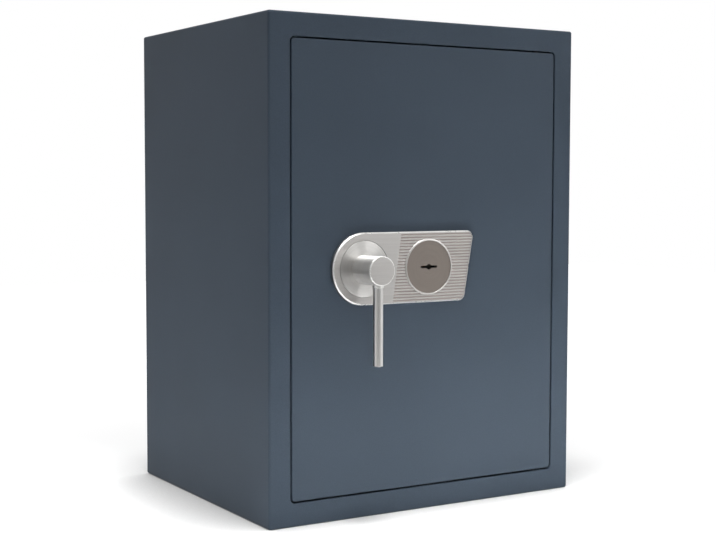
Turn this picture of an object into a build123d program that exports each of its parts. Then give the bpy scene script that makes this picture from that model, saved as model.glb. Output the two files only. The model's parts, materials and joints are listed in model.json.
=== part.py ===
from build123d import *
import os
from math import cos, radians, sin

# A free-standing safe cabinet with a flush, inset door on concealed pivots.
# A lever handle drives bolts on three sides through a spiral cam, and a key lock blocks them.
# Millimetres. X runs to the right, Y to the back and Z up, from the centre of the base.
# The door is shut, the lever hangs down and the bolts are drawn in.

# Cabinet body
body_width = 445
body_depth = 365
body_height = 600
casing_sheet = 2.5
casing_edge_radius = 3
frame_face = 28
side_wall = 40
end_wall = 40
rear_wall = 42
liner_sheet = 1.5
jamb_depth = 62
jamb_plate = 3

# Door leaf
door_gap = 2
door_thickness = 5
door_corner_radius = 4.5
door_edge_radius = 1.5
pan_inset = 4
pan_wall = 3
pan_depth = 45
cover_sheet = 1.5
door_fill = 10
base_sheet = 2
base_sheet_gap = 1

# Concealed door pivots
pivot_from_edge = 24
pivot_from_front = 10
pin_diameter = 8
pin_grip = 28
bush_diameter = 12
bracket_thickness = 12
bracket_width = 34
bracket_depth = 24
bush_floor = 3
pin_edge = 0.8
block_height = 34
block_depth = 16
block_width = 30

# Fixed dead bar on the pivot side
tongue_count = 3
tongue_spacing = 190
tongue_height = 40
tongue_thickness = 8
tongue_reach = 13.5
tongue_from_plate = 26.5
dead_bar_width = 7.5
dead_bar_end = 24

# Bolts and the bars that carry them
bolt_diameter = 20
bolt_throw = 20
bolt_spacing = 190
bolt_setback = 2
bolt_from_plate = 27.5
bar_thickness = 5
bar_width = 15
bar_tip_radius = 7.5
carriage_depth = 22
carriage_from_pan = 37.5
carriage_end = 18
end_bolt_length = 43
rivet_diameter = 8
rivet_head = 13
rivet_height = 2
guide_flange = 30
guide_bush = 26
guide_length = 12.5
guide_flange_thickness = 2
bar_guide_width = 28
bar_guide_height = 16
bar_guide_distance = 130
jamb_bolt_margin = 1.5

# Spiral cam on the handle spindle
cam_radius = 44
cam_thickness = 5
cam_slot_start = 16
cam_pin_diameter = 8
cam_pin_tail = 6
cam_edge = 0.6
handle_swing = 90
cam_standoff = 1

# Handle
handle_to_key = 92
handle_from_edge = 95.5
lock_above_middle = 1
rose_radius = 34
rose_thickness = 6
rose_edge = 1
hub_radius = 17.75
hub_length = 39.5
hub_edge = 1.5
lever_diameter = 12
lever_drop = 113
lever_setback = 9.5
lever_socket = 9
lever_end_edge = 0.7
collar_radius = 6.9
collar_length = 2.5
spindle_diameter = 16
spindle_socket = 18
spindle_square = 10
bush_outer = 24
washer_radius = 7
washer_thickness = 1.5
screw_head_radius = 5
screw_head_height = 4
spindle_screw_bite = 4
screw_crown = 0.6

# Lock plate and key rosette on the door front
plate_height = 87
plate_thickness = 6
plate_chamfer = 1.5
plate_past_key_top = 68.5
plate_past_key_bottom = 54
plate_corner_radius = 9
groove_count = 24
groove_width = 1.5
groove_depth = 0.9
groove_past_handle_top = 52
groove_past_handle_bottom = 40
rosette_radius = 34.5
rosette_rim = 2.2
rosette_rise = 1.2
rosette_dish = 0.8
key_slot_length = 24
key_slot_height = 3
key_hole_diameter = 7
key_passage_margin = 1.5
stud_diameter = 5
stud_length = 12
stud_side = 45
stud_rise = 32
nut_flats = 8
nut_height = 4
nut_pocket = 16

# Key lock behind the door plate
lock_width = 90
lock_length = 100
lock_depth = 26
lock_wall = 2.5
lock_cover_sheet = 2
curtain_radius = 13
curtain_cam_radius = 30
curtain_cam_thickness = 4
key_turn = 180
lock_throw = 12
lock_end_play = 0.9
lock_slot_start = 12
lock_pin_diameter = 5
lock_bolt_width = 10
lock_bolt_thickness = 4.5
lock_stump_reach = 34
lock_arm_height = 11
tumbler_count = 7
tumbler_thickness = 1.1
tumbler_pitch = 1.4
tumbler_gap = 1
tumbler_width = 78
tumbler_height = 60
tumbler_stud_diameter = 6
tumbler_stud_side = 24
tumbler_stud_rise = 24
drill_plate_width = 70
drill_plate_height = 90
drill_plate_thickness = 5

# Finger on the carriage that the lock bolt blocks
finger_width = 8
finger_gap = 1
finger_setback = 1
finger_arm_height = 12
finger_arm_drop = 75
finger_below_lock = 3

# Small fasteners and posts in the door
post_diameter = 10
post_inset = 12
post_beside_lock = 30
post_mid_rise = 120
cover_screw_radius = 4.5
cover_screw_height = 2.5
cover_screw_shank = 5
cover_screw_depth = 10
base_screw_radius = 5
base_screw_height = 3
base_screw_shank = 5
base_screw_side_inset = 47
base_screw_end_inset = 52
lock_screw_radius = 3.5
lock_screw_height = 2
lock_screw_shank = 4
lock_screw_inset = 7

# Anchoring holes, shelf and seal
anchor_bore = 12
anchor_sleeve = 18
anchor_spacing = 220
base_anchor_y = 10
rear_anchor_height = 440
shelf_sheet = 1.5
shelf_height = 300
shelf_front_setback = 8
shelf_lip = 20
shelf_bend = 1.3
peg_diameter = 6
peg_reach = 12
peg_flange_radius = 5
peg_flange = 1.5
peg_front_inset = 36
peg_rear_inset = 40
peg_pitch = 60
peg_rows = 3
seal_width = 10
seal_thickness = 2

# Clearances
seat_clearance = 0.05
running_clearance = 0.1
slide_clearance = 0.3
swing_clearance = 1.5

# Places that follow from the sizes
front_y = -body_depth / 2
back_y = body_depth / 2
open_x = body_width / 2 - frame_face
open_z0 = frame_face
open_z1 = body_height - frame_face
jamb_y = front_y + jamb_depth
cabin_x = body_width / 2 - side_wall
cabin_z0 = end_wall
cabin_z1 = body_height - end_wall
cabin_y1 = back_y - rear_wall
flange_y = jamb_y + liner_sheet
liner_x = cabin_x + liner_sheet
liner_z0 = cabin_z0 - liner_sheet
liner_z1 = cabin_z1 + liner_sheet
liner_y1 = cabin_y1 + liner_sheet
inside_x = body_width / 2 - casing_sheet
inside_z0 = casing_sheet
inside_z1 = body_height - casing_sheet
inside_y0 = front_y + casing_sheet
inside_y1 = back_y - casing_sheet

door_x = open_x - door_gap
door_z0 = open_z0 + door_gap
door_z1 = open_z1 - door_gap
mid_z = (door_z0 + door_z1) / 2
plate_y = front_y + door_thickness
pan_x = door_x - pan_inset
pan_z0 = door_z0 + pan_inset
pan_z1 = door_z1 - pan_inset
pan_y = plate_y + pan_depth
room_x = pan_x - pan_wall
room_z0 = pan_z0 + pan_wall
room_z1 = pan_z1 - pan_wall
fill_y = plate_y + door_fill
base_y = fill_y + base_sheet

pivot_x = door_x - pivot_from_edge
pivot_y = front_y + pivot_from_front
block_x = room_x - block_width
base_x0 = -room_x + base_sheet_gap
base_x1 = block_x - base_sheet_gap
base_z0 = room_z0 + base_sheet_gap
base_z1 = room_z1 - base_sheet_gap

handle_x = -door_x + handle_from_edge
key_x = handle_x + handle_to_key
lock_height = mid_z + lock_above_middle
bolt_y = plate_y + bolt_from_plate
cam_y0 = base_y + cam_standoff
cam_y1 = cam_y0 + cam_thickness
bar_y0 = cam_y1 + washer_thickness
bar_y1 = bar_y0 + bar_thickness
pin_end_y = base_y + cam_standoff / 2
carriage_x = -pan_x + carriage_from_pan
bolt_rows = [lock_height + row * bolt_spacing for row in (-1, 0, 1)]
top_flange_z = door_z1 - bolt_setback - end_bolt_length
bottom_flange_z = door_z0 + bolt_setback + end_bolt_length

plate_right_top = key_x + plate_past_key_top
plate_right_bottom = key_x + plate_past_key_bottom
groove_left_top = handle_x + groove_past_handle_top
groove_left_bottom = handle_x + groove_past_handle_bottom
lock_x0 = key_x - lock_width / 2
lock_x1 = key_x + lock_width / 2
lock_z0 = lock_height - lock_length / 2
lock_z1 = lock_height + lock_length / 2
lock_y1 = base_y + lock_depth
lock_room_y0 = base_y + lock_wall
lock_room_y1 = lock_y1 - lock_cover_sheet
lock_bolt_y1 = lock_room_y1 - lock_end_play
lock_bolt_y0 = lock_bolt_y1 - lock_bolt_thickness
curtain_cam_y1 = lock_bolt_y0 - slide_clearance
curtain_cam_y0 = curtain_cam_y1 - curtain_cam_thickness
curtain_y0 = lock_room_y0 + slide_clearance
finger_arm_z1 = lock_height - finger_arm_drop
finger_arm_z0 = finger_arm_z1 - finger_arm_height
finger_x0 = key_x + lock_bolt_width / 2 + finger_gap
finger_x1 = finger_x0 + finger_width


# Simple solids

def block(x0, x1, y0, y1, z0, z1):
    """A rectangular solid between two corners."""
    centre = Pos((x0 + x1) / 2, (y0 + y1) / 2, (z0 + z1) / 2)
    return centre * Box(x1 - x0, y1 - y0, z1 - z0)


def rod_x(radius, y, z, x0, x1):
    """A round bar along X."""
    return Pos((x0 + x1) / 2, y, z) * Rot(0, 90, 0) * Cylinder(radius, x1 - x0)


def rod_y(radius, x, z, y0, y1):
    """A round bar along Y."""
    return Pos(x, (y0 + y1) / 2, z) * Rot(90, 0, 0) * Cylinder(radius, y1 - y0)


def rod_z(radius, x, y, z0, z1):
    """A round bar along Z."""
    return Pos(x, y, (z0 + z1) / 2) * Cylinder(radius, z1 - z0)


def front_slab(sketch, y0, y1):
    """A sketch drawn as seen from the front, made solid from y0 back to y1."""
    seen_from_front = Plane((0, y1, 0), x_dir=(1, 0, 0), z_dir=(0, -1, 0))
    return extrude(seen_from_front * sketch, amount=y1 - y0)


def rounded(x0, x1, z0, z1, radius):
    """A rectangle with round corners, as seen from the front."""
    return Pos((x0 + x1) / 2, (z0 + z1) / 2) * RectangleRounded(x1 - x0, z1 - z0, radius)


def group(solids):
    """Separate solids kept together as one sub-part."""
    return Compound(children=list(solids))


def anchor_places(height):
    """The two fixing holes of a row, as seen along their own axis."""
    return [(-anchor_spacing / 2, height), (anchor_spacing / 2, height)]


# Cabinet shell

def make_outer_casing():
    """The folded wrap: four walls and the frame face turned in round the door opening."""
    shell = block(-body_width / 2, body_width / 2, front_y, back_y, 0, body_height)
    long_edges = shell.edges().filter_by(Axis.Y)
    front_edges = shell.faces().sort_by(Axis.Y)[0].edges()
    shell = fillet(long_edges + front_edges, casing_edge_radius)
    shell -= block(-inside_x, inside_x, inside_y0, back_y, inside_z0, inside_z1)
    opening = rounded(-open_x, open_x, open_z0, open_z1, door_corner_radius + door_gap)
    shell -= front_slab(opening, front_y, inside_y0)
    for x, y in anchor_places(base_anchor_y):
        shell -= rod_z(anchor_bore / 2, x, y, 0, inside_z0)
    return shell


def make_rear_panel():
    """The sheet that closes the back between the walls."""
    panel = block(-inside_x, inside_x, inside_y1, back_y, inside_z0, inside_z1)
    for x, z in anchor_places(rear_anchor_height):
        panel -= rod_y(anchor_bore / 2, x, z, inside_y1, back_y)
    return panel


def make_door_jamb():
    """The welded ring that the bolts shoot into, with windows for the fixed tongues."""
    inner = rounded(-open_x, open_x, open_z0, open_z1, door_corner_radius + door_gap)
    outer = offset(inner, jamb_plate)
    ring = front_slab(outer - inner, inside_y0, jamb_y)
    hole = bolt_diameter / 2 + jamb_bolt_margin
    for z in bolt_rows:
        ring -= rod_x(hole, bolt_y, z, -open_x - jamb_plate, -open_x)
    ring -= rod_z(hole, handle_x, bolt_y, open_z0 - jamb_plate, open_z1 + jamb_plate)
    ring -= rod_z(bush_diameter / 2, pivot_x, pivot_y, open_z0 - jamb_plate, open_z1 + jamb_plate)
    tip = pan_x + tongue_reach - pivot_x
    front = plate_y + tongue_from_plate - tongue_thickness
    rear = plate_y + tongue_from_plate - pivot_y
    sweep = (tip ** 2 + rear ** 2 - (open_x - pivot_x) ** 2) ** 0.5
    for z in tongue_rows():
        low = z - tongue_height / 2 - swing_clearance
        high = z + tongue_height / 2 + swing_clearance
        back = pivot_y + sweep + swing_clearance
        ring -= block(open_x, open_x + jamb_plate, front - swing_clearance, back, low, high)
    return ring


def make_inner_liner():
    """The sheet tray that lines the cabin, with a flange turned out against the jamb."""
    tray = block(-liner_x, liner_x, flange_y, liner_y1, liner_z0, liner_z1)
    flange_x = open_x + jamb_plate
    tray += block(-flange_x, flange_x, jamb_y, flange_y, open_z0 - jamb_plate, open_z1 + jamb_plate)
    tray -= block(-cabin_x, cabin_x, jamb_y, cabin_y1, cabin_z0, cabin_z1)
    for x, y in anchor_places(base_anchor_y):
        tray -= rod_z(anchor_bore / 2, x, y, liner_z0, cabin_z0)
    for x, z in anchor_places(rear_anchor_height):
        tray -= rod_y(anchor_bore / 2, x, z, cabin_y1, liner_y1)
    for y in peg_columns():
        for row in range(-peg_rows, peg_rows + 1):
            z = peg_z() + row * peg_pitch
            tray -= rod_x(peg_diameter / 2, y, z, -liner_x, -cabin_x)
            tray -= rod_x(peg_diameter / 2, y, z, cabin_x, liner_x)
    return tray


def make_side_barriers():
    """The filling of the left and right walls."""
    right = block(liner_x, inside_x, flange_y, inside_y1, inside_z0, inside_z1)
    return group([right, mirror(right, Plane.YZ)])


def make_top_barrier():
    """The filling of the top wall."""
    return block(-liner_x, liner_x, flange_y, inside_y1, liner_z1, inside_z1)


def make_bottom_barrier():
    """The filling of the bottom wall, with room for the sleeves."""
    slab = block(-liner_x, liner_x, flange_y, inside_y1, inside_z0, liner_z0)
    for x, y in anchor_places(base_anchor_y):
        slab -= rod_z(anchor_sleeve / 2 + seat_clearance, x, y, inside_z0, liner_z0)
    return slab


def make_rear_barrier():
    """The filling of the back wall, with room for the sleeves."""
    slab = block(-liner_x, liner_x, liner_y1, inside_y1, liner_z0, liner_z1)
    for x, z in anchor_places(rear_anchor_height):
        slab -= rod_y(anchor_sleeve / 2 + seat_clearance, x, z, liner_y1, inside_y1)
    return slab


def make_base_sleeves():
    """Tubes that carry the floor bolts through the filling."""
    sleeves = []
    for x, y in anchor_places(base_anchor_y):
        tube = rod_z(anchor_sleeve / 2, x, y, inside_z0, liner_z0)
        sleeves.append(tube - rod_z(anchor_bore / 2, x, y, inside_z0, liner_z0))
    return group(sleeves)


def make_rear_sleeves():
    """Tubes that carry the wall bolts through the filling."""
    sleeves = []
    for x, z in anchor_places(rear_anchor_height):
        tube = rod_y(anchor_sleeve / 2, x, z, liner_y1, inside_y1)
        sleeves.append(tube - rod_y(anchor_bore / 2, x, z, liner_y1, inside_y1))
    return group(sleeves)


# Cabin fittings

def peg_z():
    """The height of the pegs that carry the shelf."""
    return shelf_height - peg_diameter / 2 - running_clearance


def peg_columns():
    """The front and rear peg columns."""
    return [flange_y + peg_front_inset, cabin_y1 - peg_rear_inset]


def make_shelf():
    """The shelf: a folded sheet with a lip along its front and rear edges."""
    half = cabin_x - peg_flange - slide_clearance
    front = flange_y + shelf_front_setback
    rear = cabin_y1 - slide_clearance
    top = shelf_height + shelf_sheet
    shelf = block(-half, half, front, rear, shelf_height, top)
    shelf += block(-half, half, front, front + shelf_sheet, shelf_height - shelf_lip, top)
    shelf += block(-half, half, rear - shelf_sheet, rear, shelf_height - shelf_lip, top)
    bends = shelf.edges().filter_by(Axis.X).group_by(Axis.Z)[-1]
    return fillet(bends, shelf_bend)


def make_shelf_pegs():
    """Four flanged pegs in the cabin's side walls."""
    pegs = []
    for y in peg_columns():
        peg = rod_x(peg_diameter / 2 - seat_clearance, y, peg_z(), cabin_x, liner_x)
        peg += rod_x(peg_flange_radius, y, peg_z(), cabin_x - peg_flange, cabin_x)
        neck = rod_x(peg_diameter / 2, y, peg_z(), cabin_x - peg_reach, cabin_x)
        peg += chamfer(neck.edges().group_by(Axis.X)[0], pin_edge)
        pegs += [peg, mirror(peg, Plane.YZ)]
    return group(pegs)


def make_fire_seal():
    """The swelling strip stuck on the liner's flange, all round behind the door."""
    half = open_x - slide_clearance
    low = open_z0 + slide_clearance
    high = open_z1 - slide_clearance
    outer = rounded(-half, half, low, high, door_corner_radius + door_gap - slide_clearance)
    inner = rounded(
        -half + seal_width, half - seal_width, low + seal_width, high - seal_width, door_corner_radius / 2
    )
    return front_slab(outer - inner, jamb_y - seal_thickness, jamb_y)


# Pivots

def end_pair(lower):
    """A piece at the door's lower end and its mirror image at the upper end."""
    upper = mirror(lower, Plane((0, 0, mid_z), z_dir=(0, 0, 1)))
    return group([lower, upper])


def make_hinge_brackets():
    """Blocks welded behind the jamb that hold the pivot bushes."""
    high = open_z0 - jamb_plate
    half = bracket_width / 2
    bracket = block(
        pivot_x - half, pivot_x + half, inside_y0, inside_y0 + bracket_depth, high - bracket_thickness, high
    )
    bracket -= rod_z(bush_diameter / 2, pivot_x, pivot_y, high - bracket_thickness, high)
    return end_pair(bracket)


def make_hinge_bushes():
    """Closed cup bushes: the pin stands on the floor of the lower one."""
    low = open_z0 - jamb_plate - bracket_thickness
    cup = rod_z(bush_diameter / 2 - seat_clearance, pivot_x, pivot_y, low, open_z0)
    floor = open_z0 - pin_depth() - slide_clearance
    cup -= rod_z(pin_diameter / 2 + running_clearance, pivot_x, pivot_y, floor, open_z0)
    return end_pair(cup)


def pin_depth():
    """How far a pivot pin reaches into the jamb."""
    return jamb_plate + bracket_thickness - bush_floor - slide_clearance


def make_hinge_pins():
    """Hard pins that stand out of the door's ends behind its plate."""
    low = open_z0 - pin_depth()
    pin = rod_z(pin_diameter / 2, pivot_x, pivot_y, low, pan_z0 + pin_grip)
    return end_pair(chamfer(pin.edges().group_by(Axis.Z)[0], pin_edge))


def make_hinge_blocks():
    """Steel blocks in the door's corners that grip the pins."""
    lower = block(block_x, room_x, plate_y, plate_y + block_depth, room_z0, room_z0 + block_height)
    corner = lower.edges().filter_by(Axis.Y).sort_by(Axis.X)[-2:].sort_by(Axis.Z)[0]
    lower = chamfer(corner, door_corner_radius - pan_wall)
    grip = pan_z0 + pin_grip
    lower -= rod_z(pin_diameter / 2 + seat_clearance, pivot_x, pivot_y, room_z0, grip)
    return end_pair(lower)


# Door leaf

def key_passage(margin):
    """The keyway seen from the front, grown by a margin."""
    height = key_slot_height + 2 * margin
    slot = SlotOverall(key_slot_length + 2 * margin, height)
    return Pos(key_x, lock_height) * (slot + Circle(key_hole_diameter / 2 + margin))


def stud_places():
    """The lock plate's four studs, as seen from the front."""
    middle = (handle_x + key_x) / 2
    right = key_x + stud_side
    return [(x, lock_height + side * stud_rise) for x in (middle, right) for side in (-1, 1)]


def make_door_plate():
    """The flush front plate of the door."""
    outline = rounded(-door_x, door_x, door_z0, door_z1, door_corner_radius)
    plate = front_slab(outline, front_y, plate_y)
    plate = fillet(plate.faces().sort_by(Axis.Y)[0].edges(), door_edge_radius)
    plate -= rod_y(bush_outer / 2, handle_x, lock_height, front_y, plate_y)
    plate -= front_slab(key_passage(key_passage_margin), front_y, plate_y)
    for x, z in stud_places():
        plate -= rod_y(stud_diameter / 2 + seat_clearance, x, z, front_y, plate_y)
    return plate


def tongue_rows():
    """The heights of the fixed tongues."""
    middle = (tongue_count - 1) / 2
    return [mid_z + (row - middle) * tongue_spacing for row in range(tongue_count)]


def make_door_pan():
    """The edge frame welded behind the plate, with the holes that guide the bolts."""
    outer = rounded(-pan_x, pan_x, pan_z0, pan_z1, door_corner_radius)
    inner = rounded(-room_x, room_x, room_z0, room_z1, door_corner_radius - pan_wall)
    pan = front_slab(outer - inner, plate_y, pan_y)
    for z in bolt_rows:
        pan -= rod_x(guide_bush / 2, bolt_y, z, -pan_x, -room_x)
    pan -= rod_z(guide_bush / 2, handle_x, bolt_y, pan_z0, pan_z1)
    pan -= rod_z(pin_diameter / 2 + seat_clearance, pivot_x, pivot_y, pan_z0, pan_z1)
    rear = plate_y + tongue_from_plate
    for z in tongue_rows():
        low = z - tongue_height / 2 - seat_clearance
        high = z + tongue_height / 2 + seat_clearance
        front = rear - tongue_thickness - seat_clearance
        pan -= block(room_x, pan_x, front, rear + seat_clearance, low, high)
    return pan


def make_dead_bar():
    """The fixed comb on the pivot side that holds the door if its pins are cut."""
    rows = tongue_rows()
    rear = plate_y + tongue_from_plate
    front = rear - tongue_thickness
    end = tongue_height / 2 + dead_bar_end
    bar = block(room_x - dead_bar_width, room_x, front, rear, rows[0] - end, rows[-1] + end)
    for z in rows:
        low = z - tongue_height / 2
        tongue = block(room_x, pan_x + tongue_reach, front, rear, low, low + tongue_height)
        tip_edges = tongue.edges().filter_by(Axis.Y).group_by(Axis.X)[-1]
        bar += chamfer(tip_edges, door_edge_radius)
    return bar


def make_door_barrier():
    """The filling between the plate and the boltwork's base sheet."""
    slab = block(base_x0, base_x1, plate_y, fill_y, base_z0, base_z1)
    slab -= rod_y(bush_outer / 2 + seat_clearance, handle_x, lock_height, plate_y, fill_y)
    slab -= front_slab(key_passage(key_passage_margin), plate_y, fill_y)
    slab -= drill_plate_blank(slide_clearance)
    for x, z in stud_places():
        slab -= rod_y(nut_pocket / 2, x, z, plate_y, fill_y)
    for x, z in base_screw_places():
        slab -= rod_y(base_screw_shank / 2 + seat_clearance, x, z, plate_y, fill_y)
    return slab


def drill_plate_blank(margin):
    """The hard plate's block, grown by a margin."""
    half = drill_plate_width / 2 + margin
    rise = drill_plate_height / 2 + margin
    rear = plate_y + drill_plate_thickness
    return block(key_x - half, key_x + half, plate_y, rear, lock_height - rise, lock_height + rise)


def make_drill_plate():
    """The hard plate that shields the lock."""
    return drill_plate_blank(0) - front_slab(key_passage(key_passage_margin), plate_y, fill_y)


def base_screw_places():
    """The screws of the base sheet, as seen from the front."""
    sides = (base_x0 + base_screw_side_inset, base_x1 - base_screw_side_inset)
    ends = (base_z0 + base_screw_end_inset, base_z1 - base_screw_end_inset)
    return [(x, z) for x in sides for z in ends]


def make_boltwork_plate():
    """The base sheet that carries the boltwork and the lock."""
    sheet = block(base_x0, base_x1, fill_y, base_y, base_z0, base_z1)
    sheet -= rod_y(bush_outer / 2 + seat_clearance, handle_x, lock_height, fill_y, base_y)
    sheet -= front_slab(key_passage(key_passage_margin), fill_y, base_y)
    for x, z in base_screw_places():
        sheet -= rod_y(base_screw_shank / 2 + seat_clearance, x, z, fill_y, base_y)
    return sheet


def make_base_screws():
    """The screws that hold the base sheet to the door plate."""
    screws = []
    for x, z in base_screw_places():
        screw = rod_y(base_screw_shank / 2, x, z, plate_y, base_y)
        screws.append(screw + rod_y(base_screw_radius, x, z, base_y, base_y + base_screw_height))
    return group(screws)


def post_places():
    """The posts that carry the inner cover, as seen from the front."""
    columns = (base_x0 + post_inset, 0, base_x1 - post_inset)
    ends = (base_z0 + post_inset, base_z1 - post_inset)
    outer = [(x, z) for x in columns for z in ends]
    return outer + [(lock_x1 + post_beside_lock, mid_z + row * post_mid_rise) for row in (-1, 1)]


def make_cover_posts():
    """Tapped posts between the base sheet and the inner cover."""
    posts = []
    for x, z in post_places():
        post = rod_y(post_diameter / 2, x, z, base_y, pan_y)
        hole = cover_screw_shank / 2 + seat_clearance
        posts.append(post - rod_y(hole, x, z, pan_y - cover_screw_depth, pan_y))
    return group(posts)


def make_inner_cover():
    """The sheet that closes the back of the door."""
    outline = rounded(-pan_x, pan_x, pan_z0, pan_z1, door_corner_radius)
    cover = front_slab(outline, pan_y, pan_y + cover_sheet)
    for x, z in post_places():
        hole = cover_screw_shank / 2 + seat_clearance
        cover -= rod_y(hole, x, z, pan_y, pan_y + cover_sheet)
    return cover


def make_cover_screws():
    """Pan-head screws through the inner cover into its posts."""
    screws = []
    head_y = pan_y + cover_sheet
    for x, z in post_places():
        head = rod_y(cover_screw_radius, x, z, head_y, head_y + cover_screw_height)
        head = fillet(head.edges().group_by(Axis.Y)[-1], cover_screw_height * screw_crown)
        shank_end = pan_y - cover_screw_depth + slide_clearance
        screws.append(head + rod_y(cover_screw_shank / 2, x, z, shank_end, head_y))
    return group(screws)


# Lock plate and rosette

def lock_plate_outline():
    """Half round on the left, a raked edge with rounded corners on the right."""
    half = plate_height / 2
    corners = [
        (handle_x, lock_height + half),
        (plate_right_top, lock_height + half),
        (plate_right_bottom, lock_height - half),
        (handle_x, lock_height - half),
    ]
    raked = make_face(Polyline(*corners, close=True))
    right_corners = raked.vertices().sort_by(Axis.X)[-2:]
    raked = fillet(right_corners, plate_corner_radius)
    return raked + Pos(handle_x, lock_height) * Circle(half)


def groove_field():
    """The grooves of the plate's right part, cut off along a raked line."""
    half = plate_height / 2
    pitch = plate_height / groove_count
    field = make_face(Polyline(
        (groove_left_top, lock_height + half),
        (plate_right_top + plate_height, lock_height + half),
        (plate_right_top + plate_height, lock_height - half),
        (groove_left_bottom, lock_height - half),
        close=True,
    ))
    rows = Sketch()
    for row in range(1, groove_count):
        z = lock_height - half + row * pitch
        rows += Pos(plate_right_top, z) * Rectangle(2 * (plate_right_top - groove_left_bottom), groove_width)
    return rows & field


def make_lock_plate():
    """The long stainless cover plate, with round seats for the rose and the rosette."""
    face_y = front_y - plate_thickness
    plate = front_slab(lock_plate_outline(), face_y, front_y)
    plate = chamfer(plate.faces().sort_by(Axis.Y)[0].edges(), plate_chamfer)
    plate -= front_slab(groove_field(), face_y, face_y + groove_depth)
    plate -= rod_y(rose_radius + slide_clearance, handle_x, lock_height, face_y, front_y)
    plate -= rod_y(rosette_radius + seat_clearance, key_x, lock_height, face_y, front_y)
    return plate


def make_key_rosette():
    """The turned key rosette: a chamfered rim round a shallow dish with the keyhole."""
    face_y = front_y - plate_thickness - rosette_rise
    disc = rod_y(rosette_radius, key_x, lock_height, face_y, front_y)
    disc = chamfer(disc.edges().group_by(Axis.Y)[0], rosette_rise)
    dish = rosette_radius - rosette_rim
    disc -= rod_y(dish, key_x, lock_height, face_y, face_y + rosette_dish)
    return disc - front_slab(key_passage(0), face_y, front_y)


def make_plate_studs():
    """Studs on the back of the lock plate."""
    return group(
        rod_y(stud_diameter / 2, x, z, front_y, front_y + stud_length) for x, z in stud_places()
    )


def make_plate_nuts():
    """Hexagon nuts that hold the lock plate from behind the door plate."""
    nuts = []
    for x, z in stud_places():
        hexagon = Pos(x, z) * RegularPolygon(nut_flats / 2, 6, major_radius=False)
        hexagon -= Pos(x, z) * Circle(stud_diameter / 2 + seat_clearance)
        nuts.append(front_slab(hexagon, plate_y, plate_y + nut_height))
    return group(nuts)


# Handle

def make_spindle_bush():
    """The long bush that the handle's spindle turns in."""
    bush = rod_y(bush_outer / 2, handle_x, lock_height, front_y, base_y)
    return bush - rod_y(spindle_diameter / 2 + running_clearance, handle_x, lock_height, front_y, base_y)


def hub_y():
    """The front face of the handle's hub."""
    return rose_front_y() - hub_length


def rose_front_y():
    """The front face of the round rose, just proud of the lock plate."""
    return front_y - slide_clearance - rose_thickness


def make_handle_rose():
    """The round rose that turns in the lock plate's seat."""
    rose = rod_y(rose_radius, handle_x, lock_height, rose_front_y(), front_y - slide_clearance)
    rose = chamfer(rose.edges().group_by(Axis.Y)[0], rose_edge)
    hole = spindle_diameter / 2 + seat_clearance
    return rose - rod_y(hole, handle_x, lock_height, rose_front_y(), front_y)


def make_handle_hub():
    """The turned hub, with a socket for the spindle and one below for the lever."""
    hub = rod_y(hub_radius, handle_x, lock_height, hub_y(), rose_front_y())
    hub = chamfer(hub.edges().group_by(Axis.Y)[0], hub_edge)
    socket = spindle_diameter / 2 + seat_clearance
    hub -= rod_y(socket, handle_x, lock_height, rose_front_y() - spindle_socket, rose_front_y())
    lever_hole = lever_diameter / 2 + seat_clearance
    return hub - rod_z(lever_hole, handle_x, lever_y(), lock_height - hub_radius, lever_top_z())


def lever_y():
    """The depth of the lever's axis."""
    return hub_y() + lever_setback


def lever_top_z():
    """The lever's upper end inside the hub."""
    return lock_height - hub_radius + lever_socket


def make_handle_lever():
    """The round lever that hangs from the hub."""
    lever = rod_z(lever_diameter / 2, handle_x, lever_y(), lock_height - lever_drop, lever_top_z())
    return chamfer(lever.edges().group_by(Axis.Z)[0], lever_end_edge)


def make_lever_collar():
    """The bright collar where the lever enters the hub, saddled to the hub's round side."""
    top = lock_height - hub_radius + collar_length
    collar = rod_z(collar_radius, handle_x, lever_y(), top - 2 * collar_length, top)
    collar -= rod_z(lever_diameter / 2 + seat_clearance, handle_x, lever_y(), top - 2 * collar_length, top)
    hub_side = rod_y(hub_radius + seat_clearance, handle_x, lock_height, hub_y(), rose_front_y())
    return collar - hub_side


def make_handle_spindle():
    """The turned spindle with a square tail for the cam."""
    shaft = rod_y(spindle_diameter / 2, handle_x, lock_height, rose_front_y() - spindle_socket, cam_y0)
    tail = Pos(handle_x, lock_height) * Rectangle(spindle_square, spindle_square)
    shaft += front_slab(tail, cam_y0, cam_y1)
    return shaft - rod_y(screw_shank_radius(), handle_x, lock_height, cam_y0, cam_y1)


def screw_shank_radius():
    """The retaining screw's shank."""
    return screw_head_radius / 2


def make_spindle_screw():
    """The screw and washer that keep the cam on the spindle."""
    washer = rod_y(washer_radius, handle_x, lock_height, cam_y1, cam_y1 + washer_thickness)
    head_y = cam_y1 + washer_thickness
    head = rod_y(screw_head_radius, handle_x, lock_height, head_y, head_y + screw_head_height)
    head = fillet(head.edges().group_by(Axis.Y)[-1], screw_head_height * screw_crown)
    tip_y = cam_y1 - spindle_screw_bite
    shank = rod_y(screw_shank_radius() - seat_clearance, handle_x, lock_height, tip_y, cam_y1)
    return washer + head + shank


# Spiral cams and what follows them

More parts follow.
